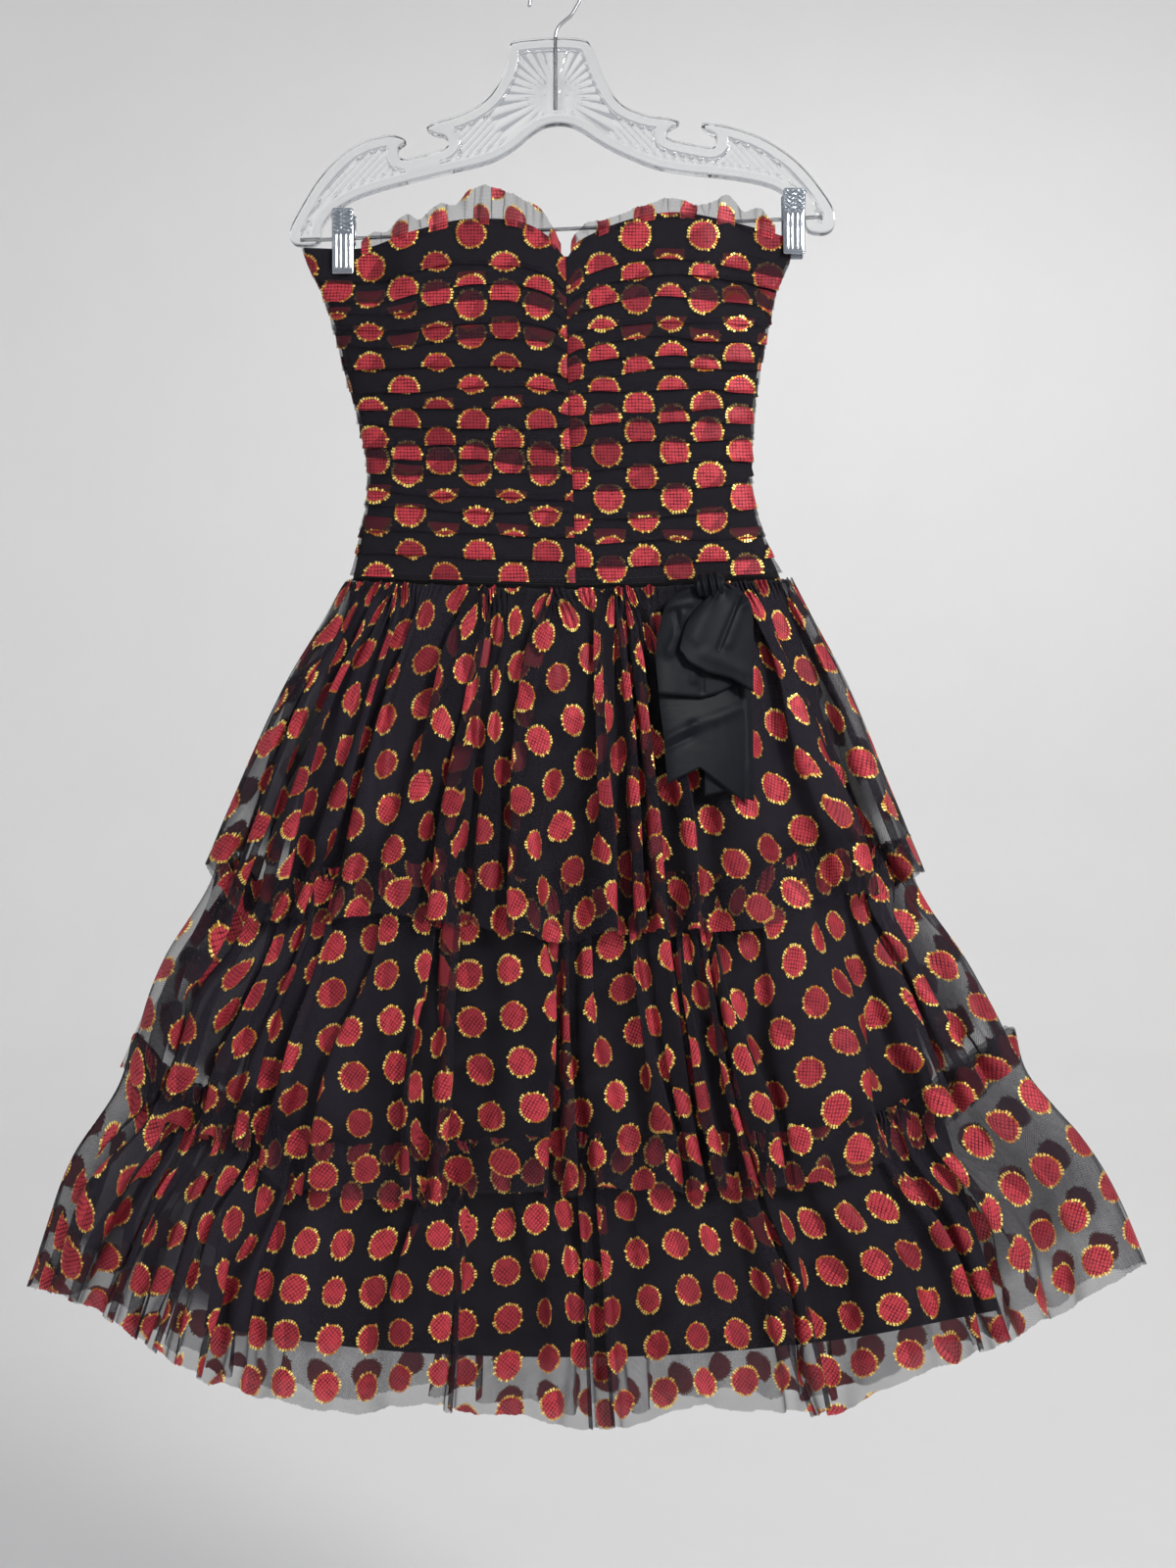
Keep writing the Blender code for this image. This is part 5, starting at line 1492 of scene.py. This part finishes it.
@dataclass
class HangerBody:
    """Clear moulded plastic: a smooth rim round a web that is cut into long facets."""

    half_depth: float = 4.3
    rim: float = 8.2
    web_depth: float = 2.3
    cell: float = 1.5
    hub: tuple = (0.0, -103.0)
    insets: tuple = (0.35, 0.9, 1.5, 3.2, 5.2, 7.0, 7.8, 8.2, 8.6, 9.2, 9.9, 10.6)

    def rounded(self) -> Array:
        """The outline with its corners eased, as points about a millimetre apart."""
        points = np.array(HANGER_OUTLINE, float)
        for _ in range(3):
            after = np.roll(points, -1, axis=0)
            points = np.stack([0.78 * points + 0.22 * after, 0.22 * points + 0.78 * after],
                              axis=1).reshape(-1, 2)
        length = np.linalg.norm(np.roll(points, -1, axis=0) - points, axis=1)
        at = np.concatenate([[0], np.cumsum(length)])
        ring = np.vstack([points, points[:1]])
        count = int(at[-1] / 1.1)
        where = np.linspace(0, at[-1], count, endpoint=False)
        return np.stack([np.interp(where, at, ring[:, i]) for i in (0, 1)], axis=-1)

    @staticmethod
    def distance(points: Array, ring: Array) -> Array:
        """How far each point is from a closed line."""
        out = np.empty(len(points))
        start, end = ring, np.roll(ring, -1, axis=0)
        way = end - start
        size = (way ** 2).sum(axis=1)
        for k in range(0, len(points), 2000):
            part = points[k:k + 2000, None] - start[None]
            t = np.clip((part * way[None]).sum(axis=2) / size[None], 0, 1)
            gap = ((part - t[..., None] * way[None]) ** 2).sum(axis=2).min(axis=1)
            out[k:k + 2000] = np.sqrt(gap)
        return out

    @staticmethod
    def inside(points: Array, ring: Array) -> Array:
        """Whether each point is inside a closed line."""
        x, y = points[:, 0], points[:, 1]
        result = np.zeros(len(points), bool)
        for (x0, y0), (x1, y1) in zip(ring, np.roll(ring, -1, axis=0)):
            if y0 == y1:
                continue
            crossing = (y0 > y) != (y1 > y)
            result ^= crossing & (x < (x1 - x0) * (y - y0) / (y1 - y0) + x0)
        return result

    def height(self, points: Array, away: Array) -> Array:
        """Half the plastic's depth at each point, from its distance to the edge."""
        x, z = points[:, 0], points[:, 1]
        inset = 1 - np.clip(away / 1.3, 0, 1)
        edge = self.half_depth - 1.1 * (1 - np.sqrt(np.clip(1 - inset ** 2, 0, 1)))
        hub_x, hub_z = self.hub
        turn = np.arctan2(z - hub_z, x - hub_x)
        star = np.abs(np.sin(turn * 15.0))
        reach = np.hypot(x - hub_x, z - hub_z)
        rope = np.abs(np.sin(math.pi * (x * np.sign(x) + 1.35 * (z + 0.35 * np.abs(x))) / 8.6))
        near = ease((58 - reach) / 10)
        facet = near * star * 1.5 * ease(reach / 20) + (1 - near) * rope * 1.7
        stem = 1.9 * np.exp(-((x - 0.2) / 4.4) ** 2) * ease((z + 122) / 6)
        bevel = 0.5 * np.exp(-((away - self.rim) / 0.7) ** 2)
        web = self.web_depth + facet * (1 - np.exp(-((x - 0.2) / 5.5) ** 2) * near) + stem
        into = ease((away - self.rim) / 1.6)
        return np.minimum(edge * (1 - into) + web * into + bevel, self.half_depth + 0.15)

    def build(self, finishes: Finishes) -> None:
        """Make and dress the hanger's body."""
        ring = self.rounded()
        after, before = np.roll(ring, -1, axis=0), np.roll(ring, 1, axis=0)
        way = after - before
        inward = np.stack([-way[:, 1], way[:, 0]], axis=1)
        inward = inward / np.linalg.norm(way, axis=1, keepdims=True)
        places = [ring]
        for away in self.insets:
            moved = ring + inward * away
            good = np.abs(self.distance(moved, ring) - away) < 0.05
            places.append(moved[good])
        low, high = ring.min(axis=0), ring.max(axis=0)
        xs, zs = np.arange(low[0], high[0], self.cell), np.arange(low[1], high[1], self.cell)
        cloud = np.stack(np.meshgrid(xs, zs), axis=-1)
        cloud[1::2, :, 0] += self.cell / 2
        cloud = cloud.reshape(-1, 2)
        cloud = cloud[self.inside(cloud, ring)]
        places.append(cloud[self.distance(cloud, ring) > 11.2])
        flat = np.concatenate(places)
        verts, _, faces, _, _, _ = delaunay_2d_cdt(
            [Vector(p) for p in flat], [], [list(range(len(ring)))], 1, 1e-5)
        spots = np.array([tuple(v) for v in verts])
        away = self.distance(spots, ring)
        depth = self.height(spots, away)
        count = len(spots)
        points = np.concatenate([np.stack([spots[:, 0], -depth, spots[:, 1]], axis=1),
                                 np.stack([spots[:, 0], depth, spots[:, 1]], axis=1)])
        quads = [tuple(f) for f in faces] + [tuple(count + i for i in reversed(f)) for f in faces]
        sides = {}
        for face in faces:
            for a, b in zip(face, face[1:] + face[:1]):
                sides[(a, b)] = sides.get((a, b), 0) + 1
        quads += [(b, a, a + count, b + count) for a, b in sides if (b, a) not in sides]
        piece = mesh_piece("clear_hanger", points, quads)
        dress_with(piece, finishes.clear)
        settle(piece, "clear_plastic", "hanger_body")


@dataclass
class Clip:
    """A sprung steel clip: ribbed front and back jaws either side of the bar."""

    name: str
    x: float
    z: float
    width: float = 17.4
    columns: int = 38
    profile: tuple = ((21.5, 8.0), (15, 7.6), (9.5, 6.5), (5, 6.3), (-2, 6.3), (-6, 6.1),
                      (-9, 5.9), (-30, 5.9))

    def jaw(self, side: Side) -> Array:
        """The outer face of one jaw, with its pressed ribs."""
        share = np.linspace(-1, 1, self.columns)
        high = np.concatenate([np.linspace(21.5, 3.0, 84), np.linspace(2.7, -30, 44)])
        s, h = np.meshgrid(share, high)
        base = line(self.profile, h)
        upper = ease((h - 3.6) / 1.2) * ease((20.4 - h) / 0.8)
        half = np.abs(s)
        waves = np.sin(2 * math.pi * (h - 1.3 * np.sin(s * math.pi * 2.0)) / 3.4)
        band = np.exp(-((half - 0.46) / 0.36) ** 6)
        ribs = upper * band * np.clip(waves, -0.5, 1) * 0.8
        lower = ease((2.4 - h) / 1.5) * ease((h + 25.8) / 1.5)
        fluted = np.exp(-((np.abs(np.abs(s) - 0.44) - 0.20) / 0.075) ** 2)
        grip = lower * (fluted * 0.9 - 0.15)
        roll = -0.9 * np.abs(s) ** 14
        lip = 0.5 * np.exp(-((h + 29.0) / 0.9) ** 2) + 0.5 * np.exp(-((h - 20.9) / 0.7) ** 2)
        corner = 1 - 0.10 * ease((h - 19.5) / 2.0) ** 2 - 0.08 * ease((-28.3 - h) / 1.7) ** 2
        x = self.x + s * self.width / 2 * corner
        y = side.value * (base + 0.55 + ribs + grip + roll + lip)
        return np.stack([x, y, self.z + h], axis=-1)

    def build(self, finishes: Finishes) -> None:
        """Make and dress both jaws and the spring."""
        for side in Side:
            label = side.name.lower()
            points, = facing_out(side, self.jaw(side))
            piece = wall(grid_mesh(f"jaw_{self.name}_{label}", points), 0.9)
            dress_with(piece, finishes.chrome)
            settle(piece, "clip_steel", f"clip_{self.name}_{label}")
        turn = np.linspace(-0.25 * math.pi, 1.25 * math.pi, 40)
        arc = np.stack([4.6 * np.cos(turn), 3.1 * np.sin(turn) + 0.4], axis=1)
        ends = np.array([[5.1, -8.0], [5.0, -5.0]])
        loop = np.concatenate([ends, arc, ends[::-1] * (-1, 1)])
        across = np.linspace(-6.2, 6.2, 9)
        points = np.stack([
            self.x + across[None, :] + 0 * loop[:, :1],
            loop[:, :1] + 0 * across[None, :],
            self.z + loop[:, 1:] + 0 * across[None, :]], axis=-1)
        piece = wall(grid_mesh(f"spring_{self.name}", points), 0.8)
        dress_with(piece, finishes.wire)
        settle(piece, "clip_steel", f"clip_{self.name}_spring")


@dataclass
class Hanger:
    """The clear body, its wire hook, its bar and two clips."""

    wire: float = 2.8
    bar: float = 3.0
    hook_radius: float = 21.0
    bar_from: tuple = (-203.0, -219.0)
    bar_to: tuple = (212.5, -200.6)
    clips: tuple = (("right", -168.5), ("left", 189.5))

    def hook_path(self) -> Array:
        """The hook's middle line, from its foot inside the plastic to its free end."""
        stem = [(0, -115), (0, -90), (0, -58), (0.4, -53.5), (2.6, -48.5), (6.6, -44.4),
                (12.2, -39.6)]
        turn = np.radians(np.arange(-36, 199, 9))
        middle = self.wire / 2 - self.hook_radius
        arc = np.column_stack([self.hook_radius * np.cos(turn),
                               middle + self.hook_radius * np.sin(turn)])
        tip = arc[-1] + np.array([-1.0, -6.0])
        return smooth_path(np.vstack([stem, arc, tip]), 150)

    def build(self, finishes: Finishes) -> None:
        """Make and dress the whole hanger."""
        HangerBody().build(finishes)
        hook = dress_with(tube("wire_hook", self.hook_path(), self.wire / 2, 20), finishes.wire)
        settle(hook, "steel", "hanger_hook")
        start, end = (np.array([p[0], 0, p[1]]) for p in (self.bar_from, self.bar_to))
        path = start + (end - start) * np.linspace(0, 1, 60)[:, None]
        bar = dress_with(tube("steel_bar", path, self.bar / 2, 24), finishes.wire)
        settle(bar, "steel", "hanger_bar")
        for name, x in self.clips:
            share = (x - self.bar_from[0]) / (self.bar_to[0] - self.bar_from[0])
            z = self.bar_from[1] + (self.bar_to[1] - self.bar_from[1]) * share
            Clip(name, x, z).build(finishes)


# ---- zip and stitches ----


def repeat_along(name: str, path: Array, pitch: float, shape: bpy.types.Object,
                 material: bpy.types.Material, wobble: float = 0.0,
                 seed: int = 1) -> bpy.types.Object:
    """Set copies of a small shape along a line, by Geometry Nodes.

    Args:
        name: The finished piece's name.
        path: Points in millimetres.
        pitch: Distance from one to the next, in millimetres.
        shape: What is repeated, pointing along +Z at the origin. It is removed.
        material: The finished piece's material.
        wobble: Largest random turn in radians.
        seed: Seed of the turns.

    Returns:
        A plain mesh object.
    """
    mesh = bpy.data.meshes.new(name + "_line")
    links = [(i, i + 1) for i in range(len(path) - 1)]
    mesh.from_pydata([tuple(p * MM) for p in path], links, [])
    piece = new_object(name, mesh)
    tree = bpy.data.node_groups.new(name + "_repeat", "GeometryNodeTree")
    for label, kind in (("Line", "Geometry"), ("Pitch", "Float"), ("Wobble", "Float"),
                        ("Seed", "Int"), ("Shape", "Object"), ("Material", "Material")):
        tree.interface.new_socket(label, in_out="INPUT", socket_type="NodeSocket" + kind)
    tree.interface.new_socket("Pieces", in_out="OUTPUT", socket_type="NodeSocketGeometry")
    g = Graph(tree)
    given = g.wires(g.node("NodeGroupInput"))
    curve = g.out("GeometryNodeMeshToCurve", 0, {"Mesh": given["Line"]})
    spots = g.wires(g.node("GeometryNodeCurveToPoints", {"Curve": curve, "Length": given["Pitch"]},
                           mode="LENGTH"))
    spread = given["Wobble"] * -1.0
    low = g.out("ShaderNodeCombineXYZ", 0, dict.fromkeys(range(3), spread))
    high = g.out("ShaderNodeCombineXYZ", 0, dict.fromkeys(range(3), given["Wobble"]))
    chance = g.out("FunctionNodeRandomValue", 0, {0: low, 1: high, "Seed": given["Seed"]},
                   data_type="FLOAT_VECTOR")
    info = g.out("GeometryNodeObjectInfo", "Geometry", {"Object": given["Shape"]})
    placed = g.out("GeometryNodeInstanceOnPoints", 0, {
        "Points": spots["Points"], "Instance": info, "Rotation": spots["Rotation"]})
    placed = g.out("GeometryNodeRotateInstances", 0, {"Instances": placed, "Rotation": chance})
    real = g.out("GeometryNodeRealizeInstances", 0, {"Geometry": placed})
    done = g.out("GeometryNodeSetMaterial", 0, {"Geometry": real, "Material": given["Material"]})
    g.node("NodeGroupOutput", {"Pieces": done})
    modifier = piece.modifiers.new("repeat", "NODES")
    modifier.node_group = tree
    values = {"Pitch": pitch * MM, "Wobble": wobble, "Seed": seed, "Shape": shape,
              "Material": material}
    for item in tree.interface.items_tree:
        if item.in_out == "INPUT" and item.name in values:
            modifier[item.identifier] = values[item.name]
    bpy.context.view_layer.update()
    evaluated = piece.evaluated_get(bpy.context.evaluated_depsgraph_get())
    result = bpy.data.meshes.new_from_object(evaluated)
    piece.modifiers.remove(modifier)
    piece.data = result
    bpy.data.meshes.remove(mesh)
    old = shape.data
    bpy.data.objects.remove(shape, do_unlink=True)
    bpy.data.meshes.remove(old)
    result.shade_smooth()
    return dress_with(piece, material)


@dataclass
class BackZip:
    """Chain, tape, slider and pull at the centre back."""

    width: float = 4.6
    tooth_out: float = 1.15
    tooth_pitch: float = 1.15
    slider_top: float = -249.0
    pivot: tuple = (8.7947, 15.2737, -252.0)
    pull_length: float = 17.0

    def line(self) -> Array:
        """The zip's middle line on the lining, from the top down."""
        down = np.linspace(-248.5, -494, 90)
        return body_point(Side.BACK, np.zeros(90), down)

    def build(self, finishes: Finishes) -> None:
        """Make and dress the zip's parts."""
        path = self.line()
        across = np.linspace(-1, 1, 7)
        offsets = np.stack([-across * self.width, 0.55 + 0 * across, 0 * across], axis=-1)
        tape = path[:, None] + offsets[None]
        flat = np.stack(np.meshgrid(across * 5, np.linspace(0, 246, 90)), axis=-1)
        piece = wall(grid_mesh("zip_tape", tape, flat), 0.4)
        dress_with(piece, finishes.tape)
        settle(piece, "zip_chain", "back_zip")
        chain = repeat_along("zip_teeth", path + (0, self.tooth_out, 0), self.tooth_pitch,
                             self.tooth(), finishes.teeth)
        settle(chain, "zip_chain")
        self.build_slider(finishes)
        self.build_pull(finishes)

    def tooth(self) -> bpy.types.Object:
        """One moulded tooth."""
        mesh = bpy.data.meshes.new("tooth")
        shape = bmesh.new()
        bmesh.ops.create_cube(shape, size=1)
        for vertex in shape.verts:
            vertex.co = Vector((vertex.co.x * 0.9, vertex.co.y * 3.6, vertex.co.z * 0.62)) * MM
        bmesh.ops.bevel(shape, geom=shape.edges[:], offset=0.16 * MM, segments=2, affect="EDGES",
                        profile=0.6)
        shape.to_mesh(mesh)
        shape.free()
        return new_object("tooth", mesh)

    def build_slider(self, finishes: Finishes) -> None:
        """The slider: a shield that narrows to its foot, with a bridge for the pull."""
        rows, sides = 30, 28
        t = np.linspace(0, 1, rows)
        turn = np.linspace(0, 2 * math.pi, sides, endpoint=False)
        half = 2.7 - 0.85 * ease(t)
        cap = np.clip(1 - (np.abs(2 * t - 1)) ** 6, 0, 1) ** 0.5
        ring_x, ring_y = (np.sign(way) * np.abs(way) ** 0.45
                          for way in (np.cos(turn), np.sin(turn)))
        middle = body_point(Side.BACK, np.zeros(1), np.array([self.slider_top - 5]))[0]
        x = middle[0] + (half * (0.25 + 0.75 * cap))[:, None] * ring_x[None]
        y = middle[1] + 2.75 + (1.25 * (0.2 + 0.8 * cap))[:, None] * ring_y[None]
        y = y + 0.35 * (1 - t)[:, None]
        z = self.slider_top - 10 * t[:, None] + 0 * ring_x[None]
        points = np.stack([x, y, z], axis=-1).reshape(-1, 3).tolist()
        slider = dress_with(mesh_piece("steel_slider", points, ring_faces(rows, sides)),
                            finishes.wire)
        settle(slider, "steel", "zip_slider")

    def build_pull(self, finishes: Finishes) -> None:
        """The pull: a narrow eye over a longer tab with a slot and a round end."""
        px, py, pz = self.pivot
        rows = np.linspace(0, 1, 60)
        z = 1.0 - self.pull_length * rows
        end = np.clip((rows - (1 - 2.5 / self.pull_length)) * self.pull_length / 2.5, 0, 0.995)
        start = np.clip((0.06 - rows) / 0.06, 0, 0.99)
        half = (1.1 + 1.4 * ease(rows / 0.34)) * np.sqrt(1 - end ** 2) * np.sqrt(1 - start ** 2)
        across = np.linspace(-1, 1, 17)
        edge = 1 - np.abs(across) ** 8
        dish = np.exp(-((rows - 0.6) / 0.2) ** 4)[:, None] * np.exp(-(across / 0.55) ** 6)[None]
        front = np.stack([px - half[:, None] * across[None],
                          py + 0.30 + 0.18 * edge[None] - 0.18 * dish,
                          pz + z[:, None] + 0 * across[None]], axis=-1)
        piece = wall(grid_mesh("steel_pull", front), 0.95)
        dress_with(piece, finishes.chrome)
        settle(piece, "steel", "zip_pull", body=PULL_BODY)


@dataclass
class Stitches:
    """Two rows of machine stitches over the hip seam, front and back."""

    pitch: float = 2.6

    def stitch(self) -> bpy.types.Object:
        """One short stitch."""
        path = [(0, 0, -0.9), (0.1, 0, -0.5), (0.22, 0, 0), (0.1, 0, 0.5), (0, 0, 0.9)]
        return tube("stitch", path, 0.17, 6)

    def build(self, finishes: Finishes) -> None:
        """Make, dress and ride the rows of stitches."""
        across = np.linspace(-0.97, 0.97, 160)
        for side in Side:
            for number, up in enumerate((3.2, 7.5)):
                z = line(HIP, across) + up
                base = body_point(side, across, z)
                base[:, 1] += side.value * 3.35
                name = f"hip_stitches_{side.name.lower()}_{number + 1}"
                row = repeat_along(name, as_seen(base), self.pitch, self.stitch(), finishes.thread,
                                   0.12, 3 + number)
                settle(row, "red_net")


# ---- the picture ----


class Studio:
    """Pale floor and wall in soft light, and the photograph's eye."""

    def build_stage(self) -> None:
        """A pale floor that curves up into a round wall."""
        profile = [(1.5, -1.80), (3.0, -1.80), (3.9, -1.78), (4.5, -1.62), (4.85, -1.25),
                   (5.0, -0.7), (5.0, 0.4), (5.0, 1.6), (5.0, 2.6)]
        sides = 96
        turns = [2 * math.pi * s / sides for s in range(sides)]
        points = [(radius * math.cos(turn) / MM, radius * math.sin(turn) / MM, z / MM)
                  for radius, z in profile for turn in turns]
        # The floor is closed, the top is open
        stage = mesh_piece("pale_stage", points, ring_faces(len(profile), sides)[:-1])
        material, g, shader = start_material("pale_wall")
        place = g.place()
        soft = g.noise(place, 3.0, 4, 0.6)
        g.feed(shader, {"Base Color": g.mix(soft, (0.80, 0.79, 0.78, 1), (0.83, 0.825, 0.82, 1)),
                        "Roughness": g.blend(g.noise(place, 40.0, 2), 0.85, 0.95)})
        dress_with(stage, material)

    def build_lights(self) -> None:
        """A broad key light from the upper right, a fill from the left and a pale sky."""
        world = bpy.data.worlds.new("soft_sky")
        bpy.context.scene.world = world
        world.use_nodes = True
        sky = world.node_tree.nodes["Background"]
        sky.inputs["Color"].default_value = (0.93, 0.95, 1.0, 1)
        sky.inputs["Strength"].default_value = 0.47
        lights = [("key", (1.9, -2.2, 0.9), 0.8, 92.0), ("fill", (-2.1, -1.8, -0.4), 1.6, 7.0),
                  ("wall", (0.8, 2.2, 1.6), 1.6, 33.0)]
        for name, place, size, power in lights:
            lamp = bpy.data.lights.new(name, "AREA")
            lamp.shape, lamp.size, lamp.energy = "DISK", size, power
            item = new_object(name, lamp)
            item.location = place
            aim = Vector((0.3, 5.0, -0.9)) if name == "wall" else Vector((0, 0, -0.6))
            item.rotation_euler = (aim - Vector(place)).to_track_quat("-Z", "Y").to_euler()
            item.visible_transmission = False

    def build_camera(self) -> None:
        """The photograph's eye."""
        camera = bpy.data.cameras.new("eye")
        camera.sensor_width = 36.0
        camera.lens = EYE_LENS
        camera.clip_end = 50.0
        item = new_object("eye", camera)
        item.location = (EYE_X * MM, -EYE_AWAY * MM, EYE_Z * MM)
        item.rotation_euler = (math.pi / 2, 0, 0)
        bpy.context.scene.camera = item

    def build(self) -> None:
        """Set the stage, the lights, the camera and the tone."""
        self.build_stage()
        self.build_lights()
        self.build_camera()
        bpy.context.scene.view_settings.view_transform = "Standard"


def main() -> None:
    """Build the dress, its hanger and the studio."""
    logging.basicConfig(level=logging.INFO, format="%(name)s: %(message)s")
    finishes = Finishes.make()
    Bodice().build(finishes)
    SkirtLining().build(finishes)
    for tier in make_tiers():
        tier.build(finishes)
    Bow().build(finishes)
    BackZip().build(finishes)
    Stitches().build(finishes)
    Hanger().build(finishes)
    Studio().build()


if __name__ == "__main__":
    main()
